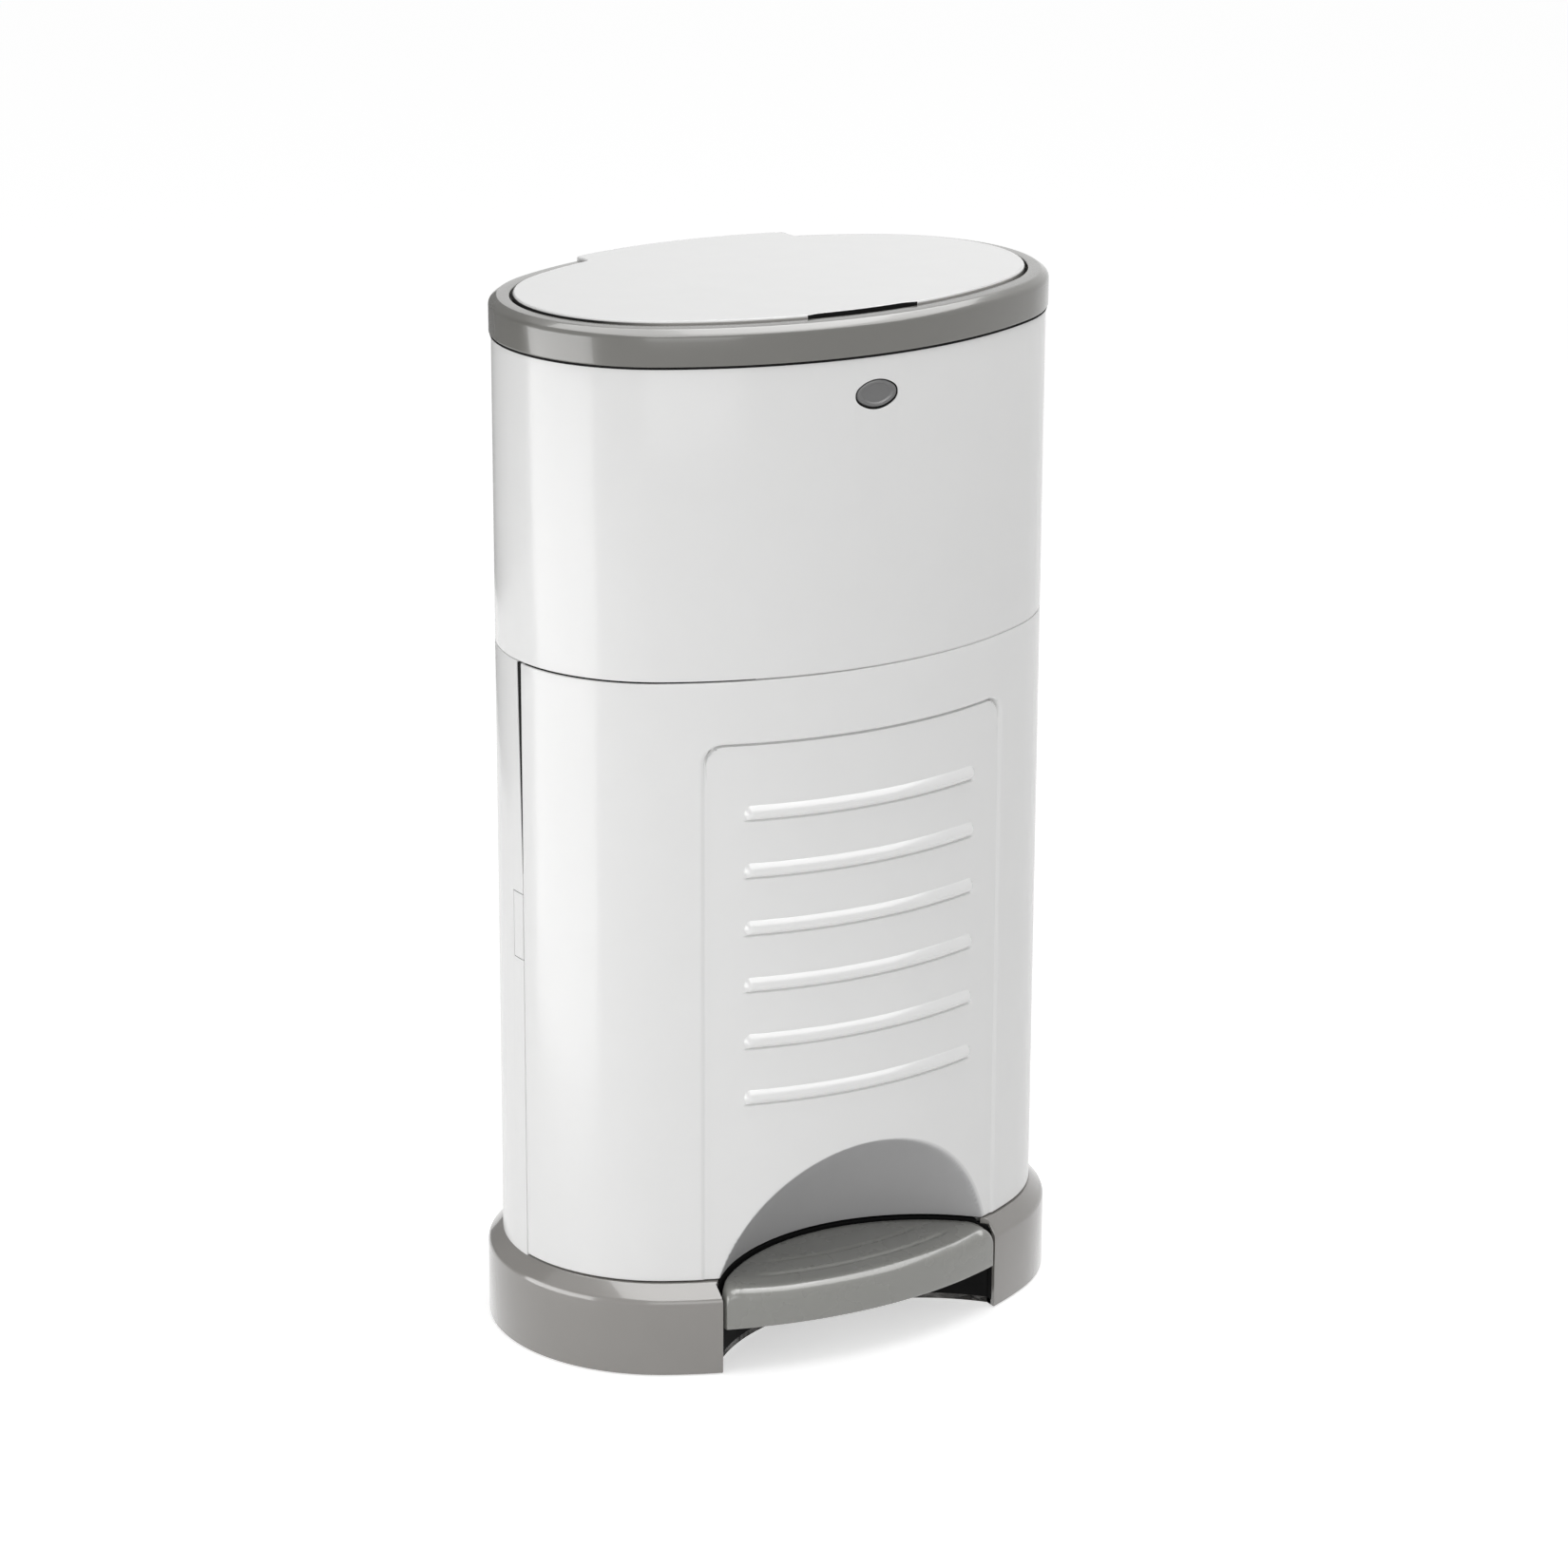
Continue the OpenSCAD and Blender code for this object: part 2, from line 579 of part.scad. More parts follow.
module trap_cradle() color([0.82, 0.82, 0.80]) difference() {
  union() {
    slab(cradle_z, cradle_z + cradle_t, -rim_in - wall - seat);
    translate([0, 0, flap_z + flap_barrel_r + 1]) linear_extrude(cradle_z - flap_z - flap_barrel_r)
      rounded(chute_x + chute_t, chute_y + chute_t, 8);
    for (s = [-1, 1]) translate([0, s*(chute_y + chute_t/2), 0])
      block([-chute_x + 8, -chute_t/2, flap_z + flap_t/2 + 1], [chute_x - 8, chute_t/2, cradle_z + 1]);
    // Collar round the chute under the lid's seal
    translate([0, 0, cradle_z]) linear_extrude(cradle_t + 1.4) rounded(chute_x + chute_t, chute_y + chute_t, 8);
    // Lugs of the trap doors' axles
    for (s = [-1, 1], y = [[-62, 3], [54.5, 2.5]]) {
      rod_y(s*flap_x, flap_z, 5.5, y[0], y[0] + y[1]);
      block([s*flap_x - 5.5, y[0], flap_z], [s*flap_x + 5.5, y[0] + y[1], cradle_z + 1]);
    }
  }
  linear_extrude(big) rounded(chute_x, chute_y, 6);
  for (s = [-1, 1]) rod_y(s*flap_x, flap_z, flap_axle_r + play, -70, 70);
  rear_cut(14, rod_y - 14, 0);
  for (p = cradle_screw_at) rod_z(p[0], p[1], screw_r + play, 0, big);
}

module rim_seal() color([0.2, 0.2, 0.2])
  band(housing_top - 9.9, rim_z - 7.75, -wall - 0.9, -5);

module rim_catch() color([0.80, 0.80, 0.78]) {
  block([-9, -79, button_z - 9], [9, -76.5, cradle_z - seat]);
  block([-9, -79.8, button_z - 9], [9, -78, button_z - 5]);
}

module flap_axles() color([0.7, 0.7, 0.7]) for (s = [-1, 1]) rod_y(s*flap_x, flap_z, flap_axle_r, -62, 57);
module flap_springs() color([0.6, 0.6, 0.6]) for (s = [-1, 1])
  translate([s*flap_x, -57.6, flap_z]) rotate([-90, 0, 0]) coil(flap_axle_r + 1.3, 0.6, 5, 6.2);
module lid_hinge_pin() color([0.7, 0.7, 0.7])
  rod_x(lid_hinge_y, lid_hinge_z, lid_pin_r, -barrel_half - 7, barrel_half + 7);

module lid() color([0.92, 0.92, 0.91]) difference() {
  union() {
    slab(lid_z0, lid_top_z - 1, -lid_in);
    slab(lid_top_z - 1, lid_top_z, -lid_in, -lid_in - 1);
    difference() {
      slab(lid_top_z - 9.2, lid_z0 + 1, -lid_in - 1.6);
      slab(0, big, -lid_in - 3.6);
    }
    // Tongue over the hinge, and the barrel under it
    intersection() {
      block([-rear_cut_x + lid_gap, rod_y - 12, lid_z0], [rear_cut_x - lid_gap, big, lid_top_z]);
      union() {
        slab(lid_z0, lid_top_z - 1, rim_out - 0.2);
        slab(lid_top_z - 1, lid_top_z, rim_out - 0.2, rim_out - 1.2);
      }
    }
    rod_x(lid_hinge_y, lid_hinge_z, barrel_r, -barrel_half, barrel_half);
    block([-barrel_half, lid_hinge_y - barrel_r, lid_hinge_z], [barrel_half, lid_hinge_y + barrel_r, lid_z0 + 1]);
    // Crank that the lift yoke pushes
    rod_x(lid_hinge_y - lid_crank_r*cos(lid_turn/2), lid_hinge_z - lid_crank_r*sin(lid_turn/2), 2, -5, 5);
    rotate([90, 0, 90]) translate([lid_hinge_y, lid_hinge_z, -4]) linear_extrude(8)
      rotate(180 + lid_turn/2) translate([0, -1.5]) square([lid_crank_r, 3]);
  }
  rod_x(lid_hinge_y, lid_hinge_z, lid_pin_r + play, -60, 60);
  // Finger slot in the front edge
  block([-slot_x + slot_d/2, -big, lid_z0 - 9], [slot_x - slot_d/2, -half_d + lid_in + slot_d, big]);
  for (s = [-1, 1]) {
    rod_z(s*(slot_x - slot_d/2), -half_d + lid_in + slot_d/2, slot_d/2, lid_z0 - 9, big);
    block([s*slot_x - (s > 0 ? slot_d/2 : 0), -big, lid_z0 - 9],
          [s*slot_x + (s > 0 ? 0 : slot_d/2), -half_d + lid_in + slot_d/2, big]);
  }
}

module lid_liner() color([0.80, 0.80, 0.78]) difference() {
  slab(lid_z0 - 2 - seat, lid_z0 - seat, -lid_in - 3.6 - seat);
  block([-slot_x - 2, -big, 0], [slot_x + 2, -half_d + lid_in + slot_d + 2, big]);
  rear_cut(barrel_half + 2, lid_hinge_y - 13, 0);
}
module lid_seal() color([0.2, 0.2, 0.2])
  translate([0, 0, cradle_z + cradle_t + 1.4 + seat + 0.1]) linear_extrude(lid_z0 - 2 - seat - cradle_z - cradle_t - 1.4 - seat - 0.1)
    difference() {
      rounded(chute_x + chute_t + 1, chute_y + chute_t + 1, 9);
      rounded(chute_x + chute_t - 3, chute_y + chute_t - 3, 5);
    }

// Crank pins start below their axles and end as far above them
crank_a = flap_turn/2;
pin_x0 = flap_x + crank_r*cos(crank_a);
pin_x1 = flap_x + crank_r;
pin_z0 = flap_z - crank_r*sin(crank_a);
yoke_y0 = 59;
yoke_y1 = 63;
yoke_top = lid_hinge_z - lid_crank_r*sin(lid_turn/2) - 2 - clear;

module lift_yoke() color([0.45, 0.62, 0.72]) difference() {
  union() {
    block([-pin_x1 - 5.5, yoke_y0, pin_z0 - 5.5], [pin_x1 + 5.5, yoke_y1, pin_z0 + 5.5]);
    block([-5, yoke_y1 - 1, pin_z0 - 5.5], [5, rod_y, pin_z0 + 5.5]);
    rod_z(0, rod_y, 5, pin_z0 - 5.5, pin_z0 + 5.5);
    // Post under the lid's crank, clear of the hinge barrel
    block([-5, rod_y - 8, pin_z0], [5, rod_y - 3, yoke_top]);
  }
  rod_z(0, rod_y, rod_r + clear, 0, rod_top + seat);
  for (s = [-1, 1]) {
    block([s > 0 ? pin_x0 : -pin_x1, yoke_y0 - 1, pin_z0 - crank_pin_r - clear],
          [s > 0 ? pin_x1 : -pin_x0, yoke_y1 + 1, pin_z0 + crank_pin_r + clear]);
    for (x = [pin_x0, pin_x1]) rod_y(s*x, pin_z0, crank_pin_r + clear, yoke_y0 - 1, yoke_y1 + 1);
  }
}

// Trap door on the side s, closed
module trap_door(s) color([0.88, 0.88, 0.86]) difference() {
  union() {
    block([s > 0 ? 3 : -flap_x + 2, -chute_y + 1, flap_z - flap_t/2], [s > 0 ? flap_x - 2 : -3, chute_y - 1, flap_z + flap_t/2]);
    rod_y(s*flap_x, flap_z, flap_barrel_r, -chute_y + 1, chute_y - 1);
    for (y = [-30, 0, 30]) block([s > 0 ? 9 : -flap_x + 5, y - 1, flap_z - flap_t/2 - 4], [s > 0 ? flap_x - 5 : -9, y + 1, flap_z]);
    // Crank at the rear end, with the pin that runs in the yoke's slot
    rod_y(s*flap_x, flap_z, flap_barrel_r, chute_y - 2, 54);
    translate([s*flap_x, 54, flap_z]) rotate([90, 0, 0]) linear_extrude(54 - chute_y - 0.5)
      rotate(s > 0 ? -crank_a : 180 + crank_a) translate([0, -3]) square([crank_r, 6]);
    rod_y(s*pin_x0, pin_z0, 3, chute_y + 0.5, 54);
    rod_y(s*pin_x0, pin_z0, crank_pin_r, 53, yoke_y1 + 1);
  }
  rod_y(s*flap_x, flap_z, flap_axle_r + play, -70, 70);
}
module trap_door_left() trap_door(-1);
module trap_door_right() trap_door(1);
module flap_seal(s) color([0.2, 0.2, 0.2])
  block([s > 0 ? seat : -3, -chute_y + 1.5, flap_z - 1], [s > 0 ? 3 : -seat, chute_y - 1.5, flap_z + 1]);
module flap_seal_left() flap_seal(-1);
module flap_seal_right() flap_seal(1);

module push_rod() color([0.7, 0.7, 0.7]) rod_z(0, rod_y, rod_r, foot_z + 2, rod_top);
module rod_foot() color([0.45, 0.62, 0.72]) difference() {
  union() {
    rod_z(0, rod_y, 8, foot_z, foot_z + 3);
    rod_z(0, rod_y, 5, foot_z, foot_z + 9);
  }
  rod_z(0, rod_y, rod_r + play, foot_z + 2, big);
}

module pedal() color([0.55, 0.55, 0.53]) difference() {
  intersection() {
    union() {
      slab(pedal_z0, pedal_z1 - 1.5, plinth_out);
      slab(pedal_z1 - 1.5, pedal_z1, plinth_out, plinth_out - 1.5);
    }
    rod_z(0, scoop_y, pedal_back_r, 0, big);
    translate([0, 0, pedal_z0]) rotate([90, 0, 0]) linear_extrude(big) {
      px = pedal_gap_x - pedal_side;
      ph = pedal_z1 - pedal_z0;
      translate([-px, 0]) square([2*px, ph - pedal_corner]);
      translate([-px + pedal_corner, 0]) square([2*(px - pedal_corner), ph]);
      for (s = [-1, 1]) translate([s*(px - pedal_corner), ph - pedal_corner]) circle(pedal_corner);
    }
  }
  // Hollow under the tread
  intersection() {
    slab(0, pedal_z1 - pedal_t, plinth_out - pedal_t);
    rod_z(0, scoop_y, pedal_back_r - pedal_t, 0, big);
    block([-pedal_gap_x + pedal_side + pedal_t, -big, 0], [pedal_gap_x - pedal_side - pedal_t, big, pedal_z1 - pedal_corner]);
  }
  intersection() {
    slab(0, pedal_z1 - pedal_t, plinth_out - pedal_t);
    rod_z(0, scoop_y, pedal_back_r - pedal_t, 0, big);
    block([-pedal_gap_x + pedal_side + pedal_corner, -big, 0], [pedal_gap_x - pedal_side - pedal_corner, big, big]);
  }
  // Slot for the lever in the rear skirt
  block([-lever_half - seat, -70, 0], [lever_half + seat, 0, pedal_z1 - pedal_t]);
  // Two shallow grooves across the tread, concentric with the back edge
  for (r = [pedal_back_r - 23, pedal_back_r - 36]) intersection() {
    difference() {
      rod_z(0, scoop_y, r + 1.2, pedal_z1 - 0.8, big);
      rod_z(0, scoop_y, r - 1.2, pedal_z1 - 1, big);
    }
    block([-64, -big, 0], [64, big, big]);
  }
}

module pedal_lever() color([0.62, 0.62, 0.60]) difference() {
  union() {
    rod_x(axle_y, axle_z, hub_r, -40, 40);
    rotate([90, 0, 90]) translate([0, 0, -lever_half]) linear_extrude(2*lever_half) polygon([
      [axle_y, axle_z - 6], [axle_y, axle_z + 6], [-54, pedal_z1 - pedal_t - seat - 0.2],
      [-96, pedal_z1 - pedal_t - seat - 0.2], [-96, pedal_z1 - 13], [-58, pedal_z1 - 15]
    ]);
    block([-6, axle_y, axle_z - 5], [6, rod_y, axle_z + 4]);
    rod_x(rod_y, axle_z + 2, 4, -6, 6);
  }
  rod_x(axle_y, axle_z, axle_r + play, -60, 60);
}

// Sunken face of the door, seen from the front, less its ribs
module panel_face() {
  difference() {
    union() {
      translate([-panel_x, 0]) square([2*panel_x, panel_top - panel_r]);
      translate([-panel_x + panel_r, 0]) square([2*(panel_x - panel_r), panel_top]);
      for (s = [-1, 1]) translate([s*(panel_x - panel_r), panel_top - panel_r]) circle(panel_r);
    }
    for (i = [0:ribs - 1]) translate([0, rib_top - i*rib_step]) {
      square([2*rib_x - rib_h, rib_h], center = true);
      for (s = [-1, 1]) translate([s*(rib_x - rib_h/2), 0]) circle(d = rib_h);
    }
  }
}
module panel_cut() {
  difference() {
    rotate([90, 0, 0]) linear_extrude(big) panel_face();
    slab(-1, big, -panel_depth);
  }
}

module front_door() color([0.91, 0.91, 0.90]) difference() {
  union() {
    difference() {
      slab(door_z0, door_z1, 0);
      slab(0, big, -door_wall);
      block([-big, door_y - door_gap/2, 0], [big, big, big]);
      panel_cut();
      translate([0, scoop_y, scoop_z]) sphere(scoop_r, $fn = 128);
    }
    rod_z(bead_x, door_y, bead_r, door_z0, door_z1);
  }
  rod_z(bead_x, door_y, door_pin_r + play, door_z0 - 1, door_z0 + door_pin_l);
  rod_z(bead_x, door_y, door_pin_r + play, door_z1 - door_pin_l, door_z1 + 1);
}

module toe_recess() color([0.60, 0.60, 0.58]) difference() {
  intersection() {
    translate([0, scoop_y, scoop_z]) sphere(scoop_r + 0.2 + scoop_t, $fn = 128);
    slab(door_z0, 160, -door_wall - 0.1);
  }
  translate([0, scoop_y, scoop_z]) sphere(scoop_r + 0.2, $fn = 128);
}

module door_keeper() color([0.45, 0.62, 0.72])
  block([-140.5, door_y - 9, latch_z0 + 9], [-137, door_y - 1.4, latch_z0 + latch_l - 9]);

module door_latch() color([0.91, 0.91, 0.90]) {
  intersection() {
    band(latch_z0, latch_z0 + latch_l, 0, -wall);
    block([-big, door_y - 0.2 + seat, 0], [-100, door_y + latch_w, big]);
  }
  block([-144, door_y + 1, latch_z0 + 8], [-141, door_y + latch_w - 1, latch_z0 + latch_l - 8]);
  block([-142, door_y + 1, latch_z0 + 8], [-134.6, door_y + 3, latch_z0 + 12]);
  block([-136.5, door_y - 7, latch_z0 + 8], [-134.6, door_y + 3, latch_z0 + 12]);
}

module release_button() color([0.47, 0.47, 0.46]) difference() {
  union() {
    intersection() {
      translate([0, -80, button_z]) rotate([90, 0, 0]) button_oval(13.5, 30, 0);
      slab(0, big, -0.3);
    }
    rod_y(0, button_z, stem_r, -94, -84.2);
  }
  // Dish in the face
  translate([0, -half_d - 58.6, button_z]) sphere(60, $fn = 128);
}

base_plinth();
floor_pan();
rear_shell();
upper_housing();
cassette_tray();
liner_cassette();
film_pack();
rod_guides();
rod_cover();
pedal_brackets();
rubber_feet();
base_screws();
tray_screws();
button_guide();
door_hinge_pins();
rim_hinge_pin();
pedal_axle();
pedal_spring();
bag_cutter();
cutter_blade();
latch_spring();
button_spring();
top_rim();
trap_cradle();
rim_seal();
rim_catch();
cradle_screws();
flap_axles();
flap_springs();
lid_hinge_pin();
lid();
lid_liner();
lid_seal();
lift_yoke();
trap_door_left();
trap_door_right();
flap_seal_left();
flap_seal_right();
push_rod();
rod_foot();
pedal();
pedal_lever();
front_door();
toe_recess();
door_keeper();
door_latch();
release_button();
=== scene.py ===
# Nappy bin with a pedal, a flat lid and a front door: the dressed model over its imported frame.
import bpy, bmesh, json
from math import sin, cos, tan, pi, sqrt, hypot, atan2, asin, acos, radians
from mathutils import Vector, Matrix


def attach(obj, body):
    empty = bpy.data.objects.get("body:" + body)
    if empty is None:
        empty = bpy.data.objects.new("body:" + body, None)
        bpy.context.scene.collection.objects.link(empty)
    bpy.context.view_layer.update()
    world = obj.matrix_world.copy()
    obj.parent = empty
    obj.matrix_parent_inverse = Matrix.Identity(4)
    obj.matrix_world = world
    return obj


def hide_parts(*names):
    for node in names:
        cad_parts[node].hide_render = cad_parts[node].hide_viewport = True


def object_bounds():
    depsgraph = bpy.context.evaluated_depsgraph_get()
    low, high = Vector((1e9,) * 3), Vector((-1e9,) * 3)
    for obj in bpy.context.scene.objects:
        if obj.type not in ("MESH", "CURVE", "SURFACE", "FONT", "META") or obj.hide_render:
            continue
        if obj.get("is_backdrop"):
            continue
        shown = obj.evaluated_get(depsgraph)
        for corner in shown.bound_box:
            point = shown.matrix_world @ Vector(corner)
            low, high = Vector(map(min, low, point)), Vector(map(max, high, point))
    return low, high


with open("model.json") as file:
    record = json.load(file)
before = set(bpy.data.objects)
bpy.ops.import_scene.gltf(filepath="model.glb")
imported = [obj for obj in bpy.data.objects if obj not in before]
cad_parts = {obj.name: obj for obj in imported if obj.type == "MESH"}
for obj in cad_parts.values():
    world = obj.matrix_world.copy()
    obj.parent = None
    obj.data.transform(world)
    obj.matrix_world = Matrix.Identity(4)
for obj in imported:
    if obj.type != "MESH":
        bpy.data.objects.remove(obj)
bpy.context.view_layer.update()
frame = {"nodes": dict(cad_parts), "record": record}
nodes = frame["nodes"]
mm = 0.001
print("frame loaded with", len(nodes), "nodes")

# The body's outline: two end arcs joined by two long, nearly flat arcs. Millimetres
outline = {"halfWidth": 146.0, "halfDepth": 98.5, "endRadius": 82.0, "step": 3.2}
endX = outline["halfWidth"] - outline["endRadius"]
sideRadius = ((outline["halfWidth"] ** 2 + outline["halfDepth"] ** 2
               - 2 * outline["halfWidth"] * outline["endRadius"])
              / (2 * (outline["halfDepth"] - outline["endRadius"])))
sideY = sideRadius - outline["halfDepth"]
turnJoin = atan2(endX, sideY)  # where a long arc meets an end arc, from the front


def outlineArc(turn):
    # centre and radius of the arc whose outward direction is turn, with 0 at the front and +90 at +X
    t = (turn + pi) % (2 * pi) - pi
    if abs(t) < turnJoin:
        return (0.0, sideY, sideRadius)
    if abs(t) > pi - turnJoin:
        return (0.0, -sideY, sideRadius)
    return (endX if t > 0 else -endX, 0.0, outline["endRadius"])


def outlinePoint(turn, out=0.0):
    cx, cy, r = outlineArc(turn)
    return cx + (r + out) * sin(turn), cy - (r + out) * cos(turn)


def turnsBetween(a, b, step=None):
    # outward directions from a to b, evenly spaced along the outline
    step = step or outline["step"]
    marks = [k * pi + s * turnJoin for k in range(-3, 4) for s in (-1, 1)]
    stops = [a] + sorted(m for m in marks if a + 1e-4 < m < b - 1e-4) + [b]
    turns = [a]
    for p, q in zip(stops, stops[1:]):
        r = outlineArc((p + q) / 2)[2]
        count = max(2, round((q - p) * r / step))
        turns += [p + (q - p) * i / count for i in range(1, count + 1)]
    return turns


def frontY(x, out=0.0):
    # y of the outline's long front arc at x
    return sideY - sqrt((sideRadius + out) ** 2 - x * x)


def turnAtX(x, out=0.0, back=False):
    # outward direction of the point of the outline's front or back that stands at x
    flat = asin(max(-1, min(1, x / (sideRadius + out))))
    if abs(flat) > turnJoin:
        s = 1 if x > 0 else -1
        flat = s * asin(min(1, (abs(x) - endX) / (outline["endRadius"] + out)))
    return pi - flat if back else flat


def turnAtY(y, side, out=0.0):
    # outward direction of the point of an end arc that stands at y
    t = acos(max(-1, min(1, -y / (outline["endRadius"] + out))))
    return side * t


def stripProfile(outer, foot, inner, top):
    # four-sided profile between two offsets and two heights
    return [(outer, foot), (outer, top), (inner, top), (inner, foot)]


def rounded(points, radii, steps=4):
    # closed outline with its corners turned into arcs of the given radii
    made = []
    n = len(points)
    for i, (x, y) in enumerate(points):
        r = radii[i] if isinstance(radii, (list, tuple)) else radii
        p, q = Vector(points[i - 1]), Vector(points[(i + 1) % n])
        c = Vector((x, y))
        a, b = (p - c), (q - c)
        if r <= 0 or a.length < 1e-6 or b.length < 1e-6:
            made.append((x, y))
            continue
        ua, ub = a.normalized(), b.normalized()
        half = acos(max(-1, min(1, ua.dot(ub)))) / 2
        if half > pi / 2 - 0.01:
            made.append((x, y))
            continue
        cut = min(r / tan(half), a.length * 0.49, b.length * 0.49)
        rr = cut * tan(half)
        centre = c + (ua + ub).normalized() * (rr / sin(half))
        s, e = c + ua * cut - centre, c + ub * cut - centre
        sweep = s.angle_signed(e)
        for k in range(steps + 1):
            t = -sweep * k / steps
            made.append((centre.x + s.x * cos(t) - s.y * sin(t), centre.y + s.x * sin(t) + s.y * cos(t)))
    return made


def makePiece(name, points, faces, body, slot, finish=None, sharp=32, smooth=True):
    # a mesh object in metres from points in millimetres, with faces turned outwards; its finish is
    # the slot's unless another is given, and a cutter has no body and no finish
    mesh = bpy.data.meshes.new(name)
    mesh.from_pydata([(x * mm, y * mm, z * mm) for x, y, z in points], [], faces)
    bm = bmesh.new()
    bm.from_mesh(mesh)
    bmesh.ops.remove_doubles(bm, verts=bm.verts, dist=1e-6)
    bmesh.ops.recalc_face_normals(bm, faces=bm.faces)
    bm.to_mesh(mesh)
    bm.free()
    if smooth:
        mesh.polygons.foreach_set("use_smooth", [True] * len(mesh.polygons))
        mesh.set_sharp_from_angle(angle=radians(sharp))
    piece = bpy.data.objects.new(name, mesh)
    bpy.context.scene.collection.objects.link(piece)
    if body:
        mesh.materials.append(finish or finishes[slot])
        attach(piece, body)
    return piece


def sweepOutline(profile, turns, closed, shift=None):
    # points and faces of a profile of (offset, height) carried along the outline;
    # shift(turn, offset) gives the offset used at that turn
    n, m = len(profile), len(turns)
    points = [(*outlinePoint(t, shift(t, out) if shift else out), z) for t in turns for out, z in profile]
    faces = []
    for i in range(m if closed else m - 1):
        j = (i + 1) % m
        for k in range(n):
            l = (k + 1) % n
            faces.append((i * n + k, j * n + k, j * n + l, i * n + l))
    if not closed:
        faces += [tuple(range(n))[::-1], tuple((m - 1) * n + k for k in range(n))]
    return points, faces


def loftFaces(n, rows, closed=False):
    # faces between rows of n points, where each row is a closed loop
    last = rows if closed else rows - 1
    return [(i * n + k, i * n + (k + 1) % n, (i + 1) % rows * n + (k + 1) % n, (i + 1) % rows * n + k)
            for i in range(last) for k in range(n)]


def joinParts(*parts):
    # points and faces of several parts as one
    points, faces = [], []
    for p, f in parts:
        faces += [tuple(i + len(points) for i in face) for face in f]
        points += p
    return points, faces


def boxPart(lo, hi):
    # upright box between two corners
    (a, b, c), (d, e, f) = lo, hi
    points = [(x, y, z) for x in (a, d) for y in (b, e) for z in (c, f)]
    return points, [(0, 1, 3, 2), (4, 6, 7, 5), (0, 4, 5, 1), (2, 3, 7, 6), (0, 2, 6, 4), (1, 5, 7, 3)]


def rodPart(axis, centre, radius, start, end, sides=40, soft=0.3):
    # rod with softened ends along "x", "y" or "z"
    rings = [(start, radius - soft), (start + soft, radius), (end - soft, radius), (end, radius - soft)]
    points, faces = [], []
    for s, r in rings:
        for k in range(sides):
            u, v = centre[0] + r * cos(2 * pi * k / sides), centre[1] + r * sin(2 * pi * k / sides)
            points.append({"x": (s, u, v), "y": (u, s, v), "z": (u, v, s)}[axis])
    for i in range(3):
        for k in range(sides):
            l = (k + 1) % sides
            faces.append((i * sides + k, (i + 1) * sides + k, (i + 1) * sides + l, i * sides + l))
    faces += [tuple(range(sides)), tuple(3 * sides + k for k in range(sides))]
    return points, faces


def prismPart(flat, z0, z1):
    # upright prism over a closed flat outline
    n = len(flat)
    points = [(x, y, z0) for x, y in flat] + [(x, y, z1) for x, y in flat]
    faces = [tuple(range(n))[::-1], tuple(n + k for k in range(n))]
    return points, faces + loftFaces(n, 2)


def cutAway(piece, *cutters):
    # cuts the cutters out of a piece for good and takes them away
    for points, faces in cutters:
        tool = makePiece("cutter", points, faces, None, None, smooth=False)
        work = piece.modifiers.new("cut", "BOOLEAN")
        work.operation, work.object, work.solver = "DIFFERENCE", tool, "EXACT"
        graph = bpy.context.evaluated_depsgraph_get()
        made = bpy.data.meshes.new_from_object(piece.evaluated_get(graph))
        piece.modifiers.remove(work)
        old, piece.data = piece.data, made
        bpy.data.meshes.remove(old)
        bpy.data.objects.remove(tool)
    piece.data.polygons.foreach_set("use_smooth", [True] * len(piece.data.polygons))
    piece.data.set_sharp_from_angle(angle=radians(32))


def softEdges(piece, width, segments, angle):
    # rounds the edges that are sharper than an angle
    work = piece.modifiers.new("softEdges", "BEVEL")
    work.width, work.segments, work.limit_method = width * mm, segments, "ANGLE"
    work.angle_limit, work.harden_normals = radians(angle), True
    work.use_clamp_overlap = True


def flatFaces(piece):
    # large flat faces keep their own shading beside rounded edges
    work = piece.modifiers.new("flatFaces", "WEIGHTED_NORMAL")
    work.weight, work.keep_sharp = 50, True


def smoothStep(x):
    # 0 to 1, level at both ends
    x = max(0.0, min(1.0, x))
    return x * x * (3 - 2 * x)


# Finishes
def mapRange(tree, source, fromLow, fromHigh, low=0.0, high=1.0):
    # node that carries a value from one range to another
    node = tree.nodes.new("ShaderNodeMapRange")
    for name, value in (("From Min", fromLow), ("From Max", fromHigh), ("To Min", low), ("To Max", high)):
        node.inputs[name].default_value = value
    tree.links.new(source, node.inputs["Value"])
    return node


def placeParts(tree, place):
    # x, y and z of the point that is coloured, in metres
    parts = tree.nodes.new("ShaderNodeSeparateXYZ")
    tree.links.new(place.outputs["Object"], parts.inputs[0])
    return parts.outputs


